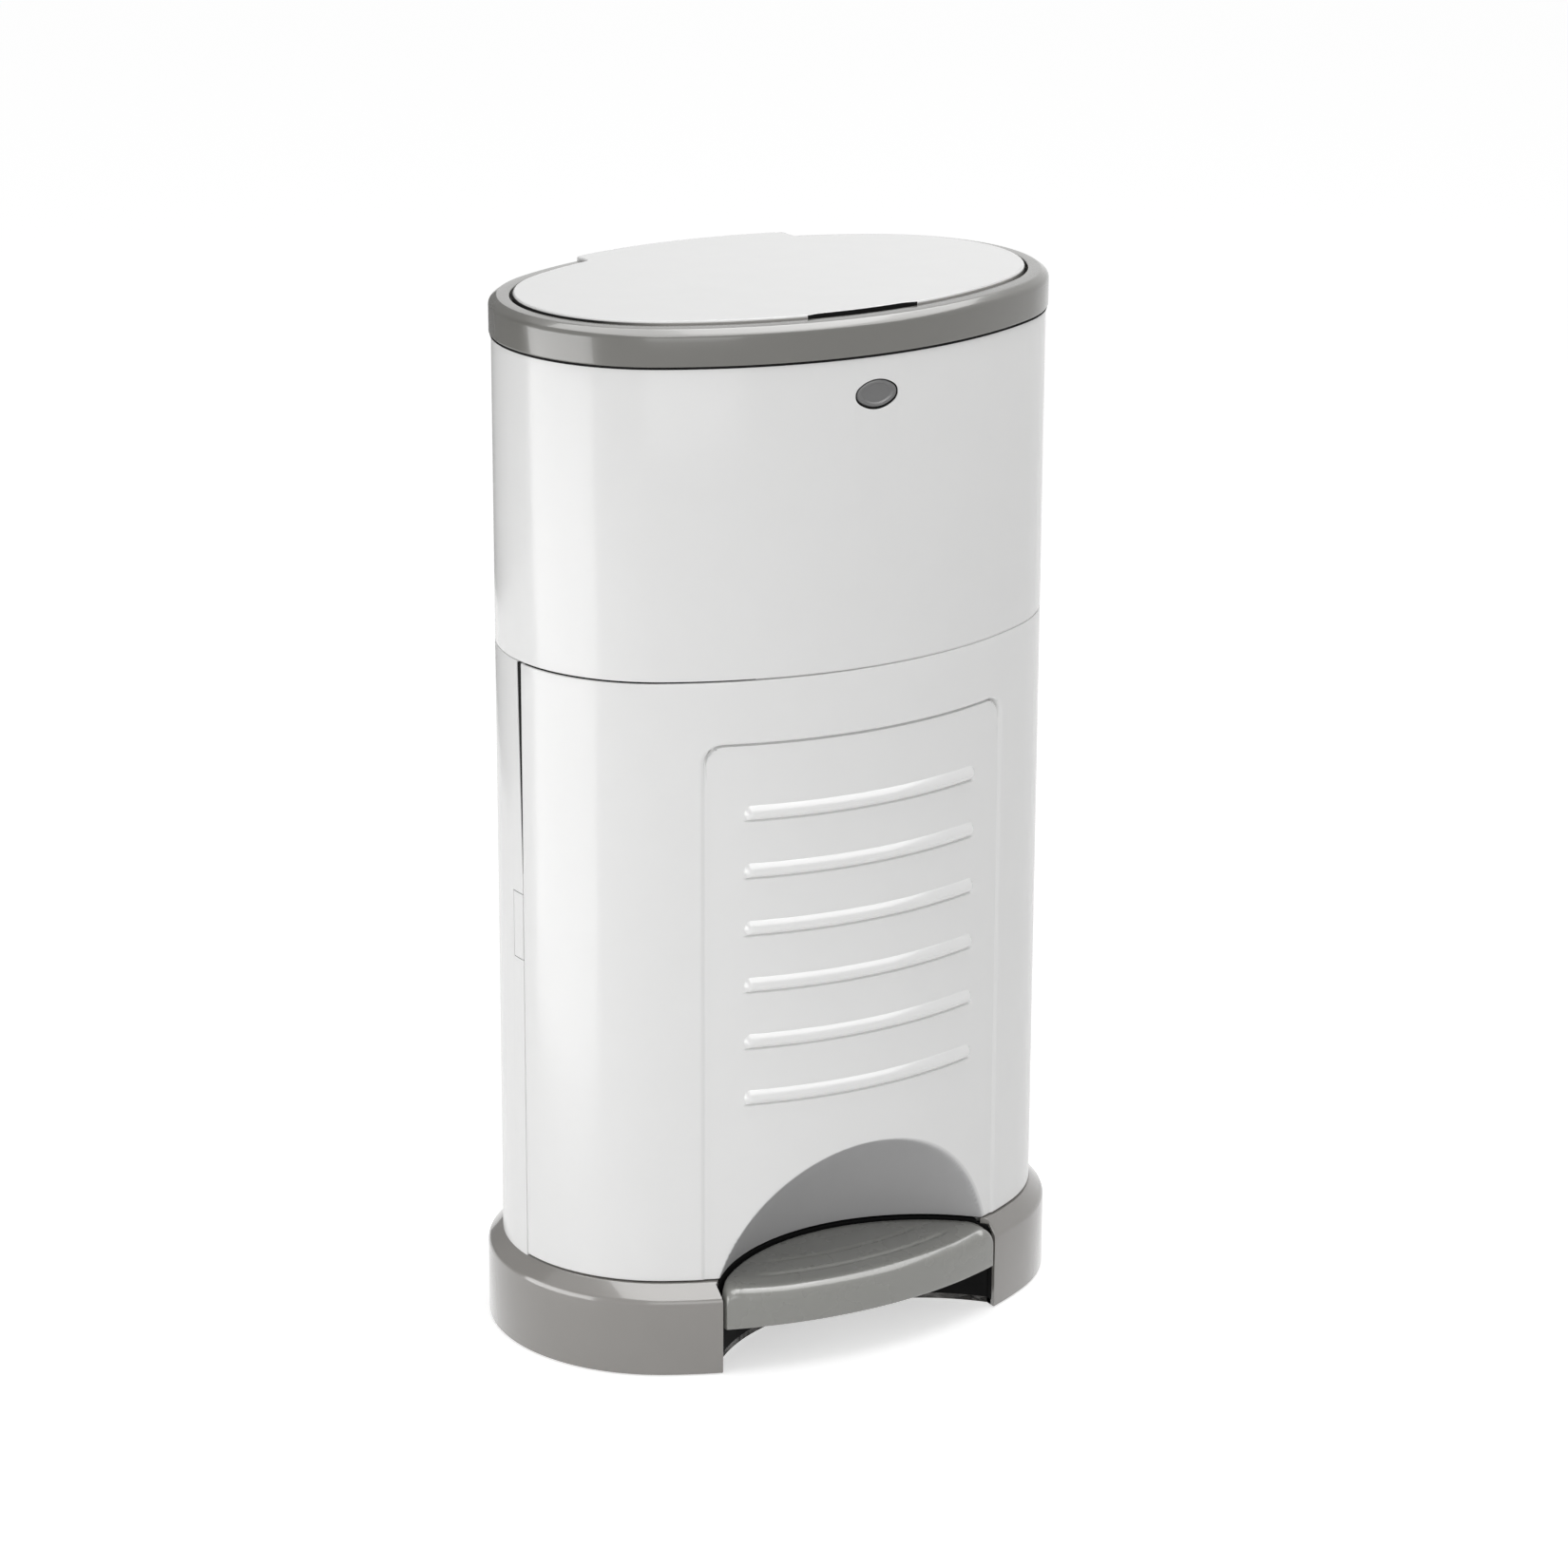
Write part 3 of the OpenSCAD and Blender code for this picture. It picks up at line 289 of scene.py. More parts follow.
def plastic(name, colour, roughness, peel=0.02, peelSize=420.0, mottle=0.015, coat=0.0, index=1.49,
            specular=0.5):
    # moulded plastic: a faint mottle in the colour, uneven gloss, and a fine surface texture
    made = bpy.data.materials.new(name)
    made.use_nodes = True
    tree = made.node_tree
    shader = tree.nodes["Principled BSDF"]
    shader.inputs["Coat Weight"].default_value = coat
    shader.inputs["Coat Roughness"].default_value = 0.05
    shader.inputs["IOR"].default_value = index
    shader.inputs["Specular IOR Level"].default_value = specular
    place = tree.nodes.new("ShaderNodeTexCoord")

    def link(a, b):
        tree.links.new(a, b)

    def noise(size, detail):
        node = tree.nodes.new("ShaderNodeTexNoise")
        node.inputs["Scale"].default_value = size
        node.inputs["Detail"].default_value = detail
        link(place.outputs["Object"], node.inputs["Vector"])
        return node.outputs["Fac"]

    def ramp(source, low, high):
        # most of a noise lies between these two values
        return mapRange(tree, source, 0.3, 0.7, low, high).outputs["Result"]

    tone = tree.nodes.new("ShaderNodeMix")
    tone.data_type = "RGBA"
    tone.inputs["A"].default_value = tuple(c * (1 - mottle) for c in colour) + (1,)
    tone.inputs["B"].default_value = tuple(min(1, c * (1 + mottle)) for c in colour) + (1,)
    link(ramp(noise(38.0, 4.0), 0.0, 1.0), tone.inputs["Factor"])
    link(tone.outputs["Result"], shader.inputs["Base Color"])
    link(ramp(noise(60.0, 3.0), roughness * 0.9, roughness * 1.12), shader.inputs["Roughness"])
    bump = tree.nodes.new("ShaderNodeBump")
    bump.inputs["Strength"].default_value = peel
    bump.inputs["Distance"].default_value = 0.0004
    link(noise(peelSize, 2.0), bump.inputs["Height"])
    link(bump.outputs["Normal"], shader.inputs["Normal"])
    return made


def metal(name, colour, roughness):
    # drawn steel: the same fine texture and uneven gloss, on metal
    made = plastic(name, colour, roughness, peel=0.05, peelSize=900.0, mottle=0.06)
    made.node_tree.nodes["Principled BSDF"].inputs["Metallic"].default_value = 1.0
    return made


# The white that the housing, the rear shell, the lid and the door share
whiteLook = {"colour": (0.84, 0.84, 0.835), "roughness": 0.18, "peel": 0.008, "mottle": 0.005,
             "coat": 0.06, "specular": 0.28}
finishes = {
    "white_shell": plastic("whiteShell", **whiteLook),
    "warm_grey_trim": plastic("warmGreyTrim", (0.168, 0.165, 0.152), 0.2, peel=0.01, coat=0.4, index=1.53),
    "plinth_grey": plastic("plinthGrey", (0.260, 0.249, 0.234), 0.2, peel=0.008, coat=0.7, index=1.53),
    "pedal_grey": plastic("pedalGrey", (0.257, 0.257, 0.24), 0.27, peel=0.002, mottle=0.004, coat=0.6,
                          index=1.53),
    "button_grey": plastic("buttonGrey", (0.17, 0.17, 0.17), 0.33, peel=0.03),
    "inner_plastic": plastic("innerPlastic", (0.55, 0.55, 0.53), 0.45, peel=0.08, peelSize=700.0),
    "cassette_plastic": plastic("cassettePlastic", (0.17, 0.36, 0.52), 0.35, peel=0.05),
    "liner_film": plastic("linerFilm", (0.58, 0.70, 0.78), 0.3, peel=0.5, peelSize=160.0, mottle=0.05),
    "black_rubber": plastic("blackRubber", (0.022, 0.022, 0.023), 0.7, peel=0.25, peelSize=900.0),
    # near black: the seal slot's own finish, also used as painted shade on the dark rings, strips, bands and
    # walls set into gaps and recesses below
    "grey_seal": plastic("greySealAndShade", (0.01, 0.01, 0.01), 0.8, peel=0.2, peelSize=800.0, specular=0.08),
    "rib_white": plastic("ribWhite", (0.85, 0.85, 0.845), 0.2, peel=0.004, mottle=0.004, coat=0.25,
                         specular=0.52),
    "bright_steel": metal("brightSteel", (0.62, 0.61, 0.59), 0.3),
}
# Painted shade on the scoop, which is of the door's white plastic: its grey fades out between edge and edgeLeft
# outside the ball, in millimetres, and out to edgeRight on the right; xLeft and xRight are where that change
# begins and ends, in metres
scoopShadeLook = {"colour": (0.46, 0.46, 0.464), "roughness": 0.42, "edge": 0.15, "edgeLeft": 0.8, "edgeRight": 3.2,
             "xLeft": 0.01, "xRight": 0.07}


def doorFinish(centre, radius):
    # white outside, and painted shade in grey on the ball-shaped scoop: the distance from the ball's centre
    # tells which
    made = plastic("doorShell", **whiteLook)
    tree = made.node_tree
    shader = tree.nodes["Principled BSDF"]
    place = tree.nodes.new("ShaderNodeTexCoord")
    away = tree.nodes.new("ShaderNodeVectorMath")
    away.operation = "DISTANCE"
    away.inputs[1].default_value = tuple(v * mm for v in centre)
    tree.links.new(place.outputs["Object"], away.inputs[0])
    # the edge of the painted shade fades over more of the curved right side
    fade = mapRange(tree, placeParts(tree, place)["X"], scoopShadeLook["xLeft"], scoopShadeLook["xRight"],
                    (radius + scoopShadeLook["edgeLeft"]) * mm, (radius + scoopShadeLook["edgeRight"]) * mm)
    inside = mapRange(tree, away.outputs["Value"], 1.0, (radius + scoopShadeLook["edge"]) * mm)
    tree.links.new(fade.outputs["Result"], inside.inputs["From Min"])
    for socket, value in (("Base Color", scoopShadeLook["colour"] + (1,)), ("Roughness", scoopShadeLook["roughness"])):
        old = shader.inputs[socket].links[0].from_socket
        mix = tree.nodes.new("ShaderNodeMix")
        mix.data_type = "RGBA" if socket == "Base Color" else "FLOAT"
        a, b = [[i for i in mix.inputs if i.name == name and i.enabled][0] for name in ("A", "B")]
        b.default_value = value
        tree.links.new(old, a)
        tree.links.new(inside.outputs["Result"], mix.inputs["Factor"])
        tree.links.new([o for o in mix.outputs if o.enabled][0], shader.inputs[socket])
    return made


# Painted shade in the gap round the lid: its colours, and the x where it turns from one to the other, in metres
gapShadeLook = {"front": (0.5, 0.49, 0.47), "ends": (0.01, 0.01, 0.01), "xFrom": 0.095, "xTo": 0.122}


def lidGapShadeFinish():
    # painted shade: mid grey along the front, nearly black at the ends of the oval
    made = plastic("lidGap", gapShadeLook["front"], 0.6, peel=0.05, specular=0.2)
    tree = made.node_tree
    shader = tree.nodes["Principled BSDF"]
    tone = shader.inputs["Base Color"].links[0].from_socket
    size = tree.nodes.new("ShaderNodeMath")
    size.operation = "ABSOLUTE"
    tree.links.new(placeParts(tree, tree.nodes.new("ShaderNodeTexCoord"))["X"], size.inputs[0])
    ends = mapRange(tree, size.outputs["Value"], gapShadeLook["xFrom"], gapShadeLook["xTo"])
    mix = tree.nodes.new("ShaderNodeMix")
    mix.data_type = "RGBA"
    mix.inputs["B"].default_value = gapShadeLook["ends"] + (1,)
    tree.links.new(ends.outputs["Result"], mix.inputs["Factor"])
    tree.links.new(tone, mix.inputs["A"])
    tree.links.new(mix.outputs["Result"], shader.inputs["Base Color"])
    return made


print("finishes made:", len(finishes))

# Hinges that several pieces share: the rim's and the lid's lie along x, the door's stands upright
rimHinge = {"y": 103.2, "z": 515.3, "radius": 3.2}
lidHinge = {"y": 92.0, "z": 527.0, "radius": 4.0}
doorHinge = {"at": (142.8, -5), "radius": 3.2}

# Upper housing: an oval shell with a hole for the button; ledge and flange are how far in, foot and top
housing = {"foot": 360.6, "top": 515.3, "wall": 2.5, "edge": 0.7, "buttonHeight": 496.4,
           "ledge": (7, 503, 505), "flange": (8, 361, 363), "knuckles": ((-30, 7), (-7, 14), (23, 7)),
           "doorKnuckle": 18}
ring = turnsBetween(-pi, pi)[:-1]
inner = -housing["wall"]
ledgeIn, ledgeFoot, ledgeTop = housing["ledge"]
flangeIn, flangeFoot, flangeTop = housing["flange"]
profile = rounded([(0, housing["foot"]), (0, housing["top"]), (inner, housing["top"]), (inner, ledgeTop),
                   (-ledgeIn, ledgeTop), (-ledgeIn, ledgeFoot), (inner, ledgeFoot), (inner, flangeTop),
                   (-flangeIn, flangeTop), (-flangeIn, flangeFoot), (inner, flangeFoot),
                   (inner, housing["foot"])],
                  [housing["edge"], 0.5, 0.5, 0, 0.4, 0.4, 0, 0, 0.4, 0.4, 0, 0.3], 3)
upperHousing = makePiece("upperHousingShell", *sweepOutline(profile, ring, True), "cabinet", "white_shell")
button = {"halfWide": 11.25, "halfHigh": 6.7, "endRadius": 4.35, "steps": 64, "edge": 0.9, "dish": 0.6,
          "dishSteps": 18, "dishEnd": 0.8, "lip": 0.8, "lipEnd": 0.86, "set": 0.1, "depth": 5.0,
          "hole": 0.75, "holeShift": (-0.2, -0.25), "stemRadius": 1.9, "stem": (-94, -84.2)}


def buttonOutline(grow):
    # four-arc oval of the button, seen from the front
    hw, hd, er = button["halfWide"], button["halfHigh"], button["endRadius"]
    ex = hw - er
    sr = (hw * hw + hd * hd - 2 * hw * er) / (2 * (hd - er))
    join = atan2(ex, sr - hd)
    flat = []
    for k in range(button["steps"]):
        t = -pi + 2 * pi * k / button["steps"]
        if abs(t) < join:
            c, r = (0, sr - hd), sr
        elif abs(t) > pi - join:
            c, r = (0, -(sr - hd)), sr
        else:
            c, r = (ex if t > 0 else -ex, 0), er
        flat.append((c[0] + (r + grow) * sin(t), c[1] - (r + grow) * cos(t)))
    return flat


holeX, holeZ = button["holeShift"]
hole = [(x + holeX, z + holeZ) for x, z in buttonOutline(button["hole"])]
points, faces = prismPart(hole, -120, -88)
cutAway(upperHousing, ([(x, y, housing["buttonHeight"] + z) for x, z, y in points], faces))
softEdges(upperHousing, 0.25, 3, 50)
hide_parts("upper_housing")
y, z, r = rimHinge["y"], rimHinge["z"], rimHinge["radius"]
parts = []
for x, w in housing["knuckles"]:
    parts.append(rodPart("x", (y, z), r, x, x + w))
    parts.append(boxPart((x, 97.0, z - r), (x + w, y, z - 0.6)))
parts.append(rodPart("z", doorHinge["at"], doorHinge["radius"], housing["foot"],
                     housing["foot"] + housing["doorKnuckle"]))
housingKnuckles = makePiece("housingKnuckles", *joinParts(*parts), "cabinet", "white_shell")
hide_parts("upper_housing")
print("upper housing made")

# Release button: an oval with a dished face and a rounded edge, just behind the face of the housing
points, n = [], button["steps"]
for k in range(1, button["dishSteps"] + 1):
    f = k / button["dishSteps"]
    for x, z in buttonOutline(-button["edge"]):
        x, z = x * f, z * f
        step = 0.0 if f > button["lipEnd"] else button["lip"] * (1 if f < button["dishEnd"] else 0.5)
        dish = button["dish"] * (0.7 - f ** 2.2) if f < button["dishEnd"] else 0.0
        points.append((x, frontY(x, -button["set"]) + step + dish, housing["buttonHeight"] + z))
e = button["edge"]
for grow, back in ((-e * 0.55, 0.12), (-e * 0.2, 0.42), (0.0, 1.1), (0.0, button["depth"])):
    for x, z in buttonOutline(grow):
        points.append((x, frontY(x, -button["set"]) + back, housing["buttonHeight"] + z))
rows = len(points) // n
faces = loftFaces(n, rows) + [tuple(range(n)), tuple((rows - 1) * n + k for k in range(n))]
stem = rodPart("y", (0, housing["buttonHeight"]), button["stemRadius"], *button["stem"])
releaseButton = makePiece("releaseButton", *joinParts((points, faces), stem), "button", "button_grey", sharp=50)
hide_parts("release_button")
# a near-black ring set into the gap round the button: painted shade
points = []
for grow, back in ((1.2, 0.45), (0.12, 0.45), (0.12, 1.3), (1.2, 1.3)):
    points += [(x, frontY(x) + back, housing["buttonHeight"] + z) for x, z in buttonOutline(grow)]
makePiece("buttonGapShade", points, loftFaces(n, 4, closed=True), "cabinet", "grey_seal")
print("button made")

# Rear shell of the lower body, open to the front between the door's seams; the left seam opens upwards
rear = {"foot": 4.3, "top": 360.3, "wall": 2.5, "leftY": -5.1, "rightY": 0.0, "seamOpen": 3.1,
        "seamFrom": 250.0, "bosses": ((-112, 26), (112, 26), (-62, 72), (62, 72)), "bossRadius": 4.5,
        "bossTop": 22, "latch": (205.5, 240.5), "cutX": (-151, -137), "cutY": (-5.6, 4.5), "seamTop": 361.0,
        "stripY": (-5.2, -0.6), "stripZ": (251.0, 359.6), "seamY": -9.0, "seamZ": (359.95, 360.5),
        "ledgeStep": 2.2, "shadeStep": 9.0}
profile = rounded(stripProfile(0, rear["foot"], -rear["wall"], rear["top"]), 0.6, 3)
turns = turnsBetween(turnAtY(rear["rightY"], 1), 2 * pi - turnAtY(rear["leftY"], 1))
rearShell = makePiece("rearShell", *sweepOutline(profile, turns, False), "cabinet", "white_shell")
(x0, x1), (y0, y1) = rear["cutX"], rear["cutY"]
wedge = [(y0, rear["seamFrom"]), (rear["leftY"], rear["seamFrom"]),
         (rear["leftY"] + rear["seamOpen"], rear["seamTop"]), (y0, rear["seamTop"])]
points = [(x, y, z) for x in (x0, x1) for y, z in wedge]
faces = [(0, 1, 2, 3), (7, 6, 5, 4)] + loftFaces(4, 2)
cutAway(rearShell, boxPart((x0, -6, rear["latch"][0]), (x1, y1, rear["latch"][1])), (points, faces))
softEdges(rearShell, 0.4, 3, 50)
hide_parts("rear_shell")
parts = [rodPart("z", at, rear["bossRadius"], rear["foot"], rear["bossTop"]) for at in rear["bosses"]]
parts += [boxPart((-144.2, 9.5, 220), (-132, 12, 236)), boxPart((-134, -3, 220), (-132, 12, 236))]
rearBosses = makePiece("rearShellBosses", *joinParts(*parts), "cabinet", "white_shell")
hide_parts("rear_shell")
# near-black strips set into the door's left seam: painted shade that makes the seam read as a dark line
turns = turnsBetween(*(2 * pi - turnAtY(y, 1) for y in rear["stripY"]))
profile = stripProfile(-0.4, rear["stripZ"][0], -1.6, rear["stripZ"][1])
makePiece("doorSeamShadeStrips", *sweepOutline(profile, turns, False), "cabinet", "grey_seal")


def ledgeShift(turn, out):
    # the ledge comes forward along the seam from left to right
    return out - rear["ledgeStep"] * max(0.0, 0.3 - turn)


def shadeShift(turn, out):
    # the dark strip sinks deeper into the seam towards its right end
    return out - rear["shadeStep"] * max(0.0, turn + 0.72) ** 2


foot, top = rear["seamZ"]
turns = turnsBetween(-0.3, turnAtY(rear["seamY"], 1))
makePiece("seamLedge", *sweepOutline(stripProfile(-0.8, foot, -3.4, top), turns, False, ledgeShift), "cabinet",
          "white_shell")
turns = turnsBetween(-turnAtY(rear["seamY"], 1), -0.2)
makePiece("seamShade", *sweepOutline(stripProfile(-0.45, foot, -2.0, top), turns, False, shadeShift), "cabinet",
          "grey_seal")
print("rear shell made")

# Plinth: a glossy band with a sloping shoulder, open at the front for the pedal
plinth = {"out": 8.2, "lift": 0.6, "wall": 40.0, "top": 47.4, "inset": 0.3, "thick": 2.6, "endIn": 1.0,
          "gapX": 81.2, "recessY": -154.3, "recessR": 107.0, "recessWall": 2.5, "recessTop": 46.6,
          "wallFrom": -85.2, "sideY": (-88.2, -84.0), "sideTop": 41.5, "notchX": (77.0, 86.0), "notchFrom": 44.6,
          "floor": 4.0, "floorIn": -59.0, "floorGap": 1.2}
shoulder = rounded([(0, 0), (plinth["out"], 0), (plinth["out"], plinth["wall"]), (0.9, plinth["top"] - 0.1),
                    (plinth["inset"], plinth["top"]), (-9, plinth["top"])], [0, 0, 4.5, 1.0, 0, 0], 7)[2:-2]
inner = plinth["out"] - plinth["thick"]
profile = ([(plinth["out"] - 0.5, plinth["lift"]), (plinth["out"] - 0.1, plinth["lift"] + 0.2),
            (plinth["out"], plinth["lift"] + 0.7)] + shoulder
           + [(-2.2, plinth["top"]), (-2.2, 44.2), (inner - 2.0, 42.6), (inner, 38.0),
              (inner, plinth["floor"]), (-60, plinth["floor"]), (-60, plinth["lift"])])


def plinthShift(turn, out):
    # the band stands out less at the ends of the oval
    return out - plinth["endIn"] * sin(turn) ** 4 * (out > 0.5)


def recessOutline(grow=0.0, steps=40):
    # gap of the pedal seen from above: straight sides, and an arc at the back
    radius, halfX = plinth["recessR"] + grow, plinth["gapX"] + grow
    a = asin(halfX / radius)
    turns = [a - 2 * a * k / steps for k in range(steps + 1)]
    arc = [(radius * sin(t), plinth["recessY"] + radius * cos(t)) for t in turns]
    return [(-halfX, -140), (halfX, -140)] + arc


plinthShell = makePiece("plinthShell", *sweepOutline(profile, ring, True, plinthShift), "cabinet",
                        "warm_grey_trim", finishes["plinth_grey"])
cutAway(plinthShell, prismPart(recessOutline(), -5, 60))
softEdges(plinthShell, 1.1, 4, 42)
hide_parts("base_plinth")
# Curved wall behind the pedal with the side walls of its gap, near black as painted shade inside the gap, and
# the plinth's floor
gapX, wide, foot = plinth["gapX"], plinth["recessWall"], plinth["lift"] + 0.3
y, (y0, y1) = plinth["wallFrom"], plinth["sideY"]
flat = ([(-gapX - wide, y), (-gapX, y)] + recessOutline()[2:][::-1]
        + [(gapX, y), (gapX + wide, y)] + recessOutline(wide)[2:])
parts = [prismPart(flat, foot, plinth["recessTop"])]
for x in (-gapX - wide / 2, gapX + wide / 2):
    parts.append(boxPart((x - wide / 2, y0, foot), (x + wide / 2, y1, plinth["sideTop"])))
recessWall = makePiece("pedalRecessWall", *joinParts(*parts), "cabinet", "grey_seal", sharp=25)
near, far = plinth["notchX"]
for x0, x1 in ((-far, -near), (near, far)):
    cutAway(recessWall, boxPart((x0, -90, plinth["notchFrom"]), (x1, -75, 60)))
flat = [outlinePoint(t, plinth["floorIn"]) for t in ring]
plinthFloor = makePiece("plinthFloor", *prismPart(flat, plinth["lift"] + 0.4, plinth["floor"]), "cabinet",
                        "warm_grey_trim", finishes["plinth_grey"])
cutAway(plinthFloor, prismPart(recessOutline(plinth["floorGap"]), -5, 60))
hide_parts("base_plinth")
hinge = makePiece("doorHingeFoot", *rodPart("z", doorHinge["at"], doorHinge["radius"], 3.5, plinth["top"]),
                  "cabinet", "warm_grey_trim", finishes["plinth_grey"])
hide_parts("base_plinth")
print("plinth made")

# Top rim: a glossy band with a soft bevel, a flat shoulder and a rear cut for the lid's hinge
rim = {"out": 1.2, "foot": 515.75, "face": 530.9, "bevelOut": -2.7, "bevelTop": 533.7, "inner": -10.0,
       "top": 534.0, "edge": 3.4, "shoulderEdge": 2.8, "endOut": 1.2, "cutX": 61.5, "cutY": 70.0, "cutZ": 518.45,
       "lidLugs": 39, "lugHalf": 3.5, "rimLugs": (-22.5, 7.5), "rimLugWide": 15}
profile = rounded([(rim["out"], rim["foot"]), (rim["out"], rim["face"]), (rim["bevelOut"], rim["bevelTop"]),
                   (rim["inner"], rim["top"]), (rim["inner"], 525.5), (-17, 525.5), (-17, 522.7), (-12.7, 522.7),
                   (-12.7, rim["foot"]), (-8.2, rim["foot"]), (-8.2, 530.0), (-1.7, 528.6), (-1.7, 517.75),
                   (-5.2, 517.75), (-5.2, 508.0), (-3.2, 508.0), (-3.2, rim["foot"])],
                  [1.0, rim["edge"], rim["shoulderEdge"], 0.7, 0.4, 0.5, 0.5, 0.4, 0.4, 0.3, 0.4, 0.4, 0.3, 0.3,
                   0.5, 0.5, 0.2], 5)


def rimShift(turn, out):
    # the flat shoulder is narrower at the ends of the oval
    return out + rim["endOut"] * sin(turn) ** 4 * (-11 < out < -6)


topRim = makePiece("topRimBand", *sweepOutline(profile, ring, True, rimShift), "rim_unit", "warm_grey_trim")
cutAway(topRim, boxPart((-rim["cutX"], rim["cutY"], rim["cutZ"]), (rim["cutX"], 140, 560)))
softEdges(topRim, 0.35, 3, 60)
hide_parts("top_rim")
parts, half = [], rim["lugHalf"]
for x in (-rim["lidLugs"], rim["lidLugs"]):
    parts.append(rodPart("x", (lidHinge["y"], lidHinge["z"]), lidHinge["radius"], x - half, x + half))
    parts.append(boxPart((x - half, 88.0, 516.75), (x + half, 96.0, lidHinge["z"])))
y, z, r = rimHinge["y"], rimHinge["z"], rimHinge["radius"]
for x in rim["rimLugs"]:
    end = x + rim["rimLugWide"]
    parts.append(rodPart("x", (y, z), r, x, end))
    parts.append(boxPart((x, 95.5, 515.95), (end, y, z + r)))
rimHinges = makePiece("topRimHinges", *joinParts(*parts), "rim_unit", "warm_grey_trim")
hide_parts("top_rim")
turns = turnsBetween(-pi + 0.55, pi - 0.55)
makePiece("rimShadowGap", *sweepOutline(stripProfile(0.6, 514.7, 0.08, 516.2), turns, False), "rim_unit",
          "grey_seal")
print("top rim made")

# Lid: a flat oval plate with a rear tongue over its hinge and a finger slot in its front edge
lid = {"out": -11.7, "top": 535.5, "thick": 4.0, "edge": 1.0, "endOut": 1.2, "slotX": 30.8, "slotDepth": 2.2,
       "slotTaper": 9.0, "tongueX": 60.6, "tongueOut": 0.2, "skirtOut": -13.3, "skirtIn": -15.3,
       "skirtFoot": 526.3, "barrelX": 35, "bandFoot": 531.9, "bandTop": 0.95, "slotShadeTop": 0.35}


def slotLine(forward):
    # the finger slot's wall seen from above, moved towards the front
    steps, line = 30, []
    for k in range(-steps, steps + 1):
        x = lid["slotX"] * k / steps
        mouth = outlinePoint(turnAtX(x, lid["out"]), lid["out"])[1]
        deep = smoothStep((lid["slotX"] - abs(x)) / lid["slotTaper"]) ** 0.6 if abs(x) < lid["slotX"] else 0.0
        line.append((x, mouth + lid["slotDepth"] * deep - forward))
    return line


def lidShift(turn, out):
    # the edge comes closer to the rim at the ends of the oval
    return out + lid["endOut"] * sin(turn) ** 4


def lidOutline():
    # seen from above: the ends, the tongue at the back, and the front edge with its slot
    slotTurn = turnAtX(lid["slotX"] + 1.6, lid["out"])
    tongueTurn = turnAtX(lid["tongueX"] + 1.5, lid["out"], back=True)
    right = turnsBetween(slotTurn, tongueTurn)
    left = turnsBetween(2 * pi - tongueTurn, 2 * pi - slotTurn)
    flat = [outlinePoint(t, lidShift(t, lid["out"])) for t in right]
    tongueEnd = turnAtX(lid["tongueX"] - 1.5, lid["tongueOut"], back=True)
    edge = outlinePoint(tongueTurn, lid["out"])
    near, far = edge[1] + 1.6, outlinePoint(tongueEnd, lid["tongueOut"])[1] - 1.6
    flat += [(lid["tongueX"], near), (lid["tongueX"], far)]
    flat += [outlinePoint(t, lid["tongueOut"]) for t in turnsBetween(tongueEnd, 2 * pi - tongueEnd)]
    flat += [(-lid["tongueX"], far), (-lid["tongueX"], near)]
    flat += [outlinePoint(t, lidShift(t, lid["out"])) for t in left]
    return flat + slotLine(0.0)


def plate(flat, profile):
    # closed plate: rings of the outline moved inwards by the profile's inset, at its heights
    n = len(flat)
    area = sum(flat[k - 1][0] * flat[k][1] - flat[k][0] * flat[k - 1][1] for k in range(n))
    turnIn = 1 if area > 0 else -1
    normals = []
    for k in range(n):
        p, q, r = Vector(flat[k - 1]), Vector(flat[k]), Vector(flat[(k + 1) % n])
        a, b = (q - p).normalized(), (r - q).normalized()
        na, nb = Vector((-a.y, a.x)) * turnIn, Vector((-b.y, b.x)) * turnIn
        m = (na + nb).normalized()
        normals.append(m / max(0.35, m.dot(na)))
    points = []
    for inset, z in profile:
        points += [(x + m.x * inset, y + m.y * inset, z) for (x, y), m in zip(flat, normals)]
    caps = [tuple(range(n)), tuple((len(profile) - 1) * n + k for k in range(n))]
    return points, loftFaces(n, len(profile)) + caps


e, under = lid["edge"], lid["top"] - lid["thick"]
profile = [(e * (1 - sin(pi / 2 * k / 6)), lid["top"] - e * (1 - cos(pi / 2 * k / 6))) for k in range(7)]
profile += [(0.0, under + 0.5), (0.5, under)]
lidPlate = makePiece("lidPlate", *plate(lidOutline(), profile), "lid_unit", "white_shell", sharp=50)
flatFaces(lidPlate)
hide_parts("lid")
skirt = rounded(stripProfile(lid["skirtOut"], under + 0.5, lid["skirtIn"], lid["skirtFoot"]), [0, 0.5, 0.5, 0])
gap = turnAtX(lid["slotX"] - 1.5, lid["skirtOut"])
parts = [sweepOutline(skirt, turnsBetween(gap, 2 * pi - gap), False),
         rodPart("x", (lidHinge["y"], lidHinge["z"]), lidHinge["radius"], -lid["barrelX"], lid["barrelX"]),
         boxPart((-lid["barrelX"], 88, 527), (lid["barrelX"], 96, 532))]
# The crank that the yoke pushes: an arm from the hinge to a pin
crank = {"radius": 13.963, "rest": 37.5, "half": 1.5, "wide": 4, "pinRadius": 2.0, "pinHalf": 5}
a, hub = radians(crank["rest"]), Vector((lidHinge["y"], lidHinge["z"]))
pin = hub + Vector((-cos(a), -sin(a))) * crank["radius"]
side = Vector((-sin(a), cos(a))) * crank["half"]
corners = [hub + side, hub - side, pin - side, pin + side]
points = [(x, c.x, c.y) for x in (-crank["wide"], crank["wide"]) for c in corners]
parts.append((points, [(0, 1, 2, 3), (7, 6, 5, 4), (0, 4, 5, 1), (1, 5, 6, 2), (2, 6, 7, 3), (3, 7, 4, 0)]))
parts.append(rodPart("x", (pin.x, pin.y), crank["pinRadius"], -crank["pinHalf"], crank["pinHalf"]))
lidFittings = makePiece("lidSkirtAndHinge", *joinParts(*parts), "lid_unit", "white_shell")
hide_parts("lid")
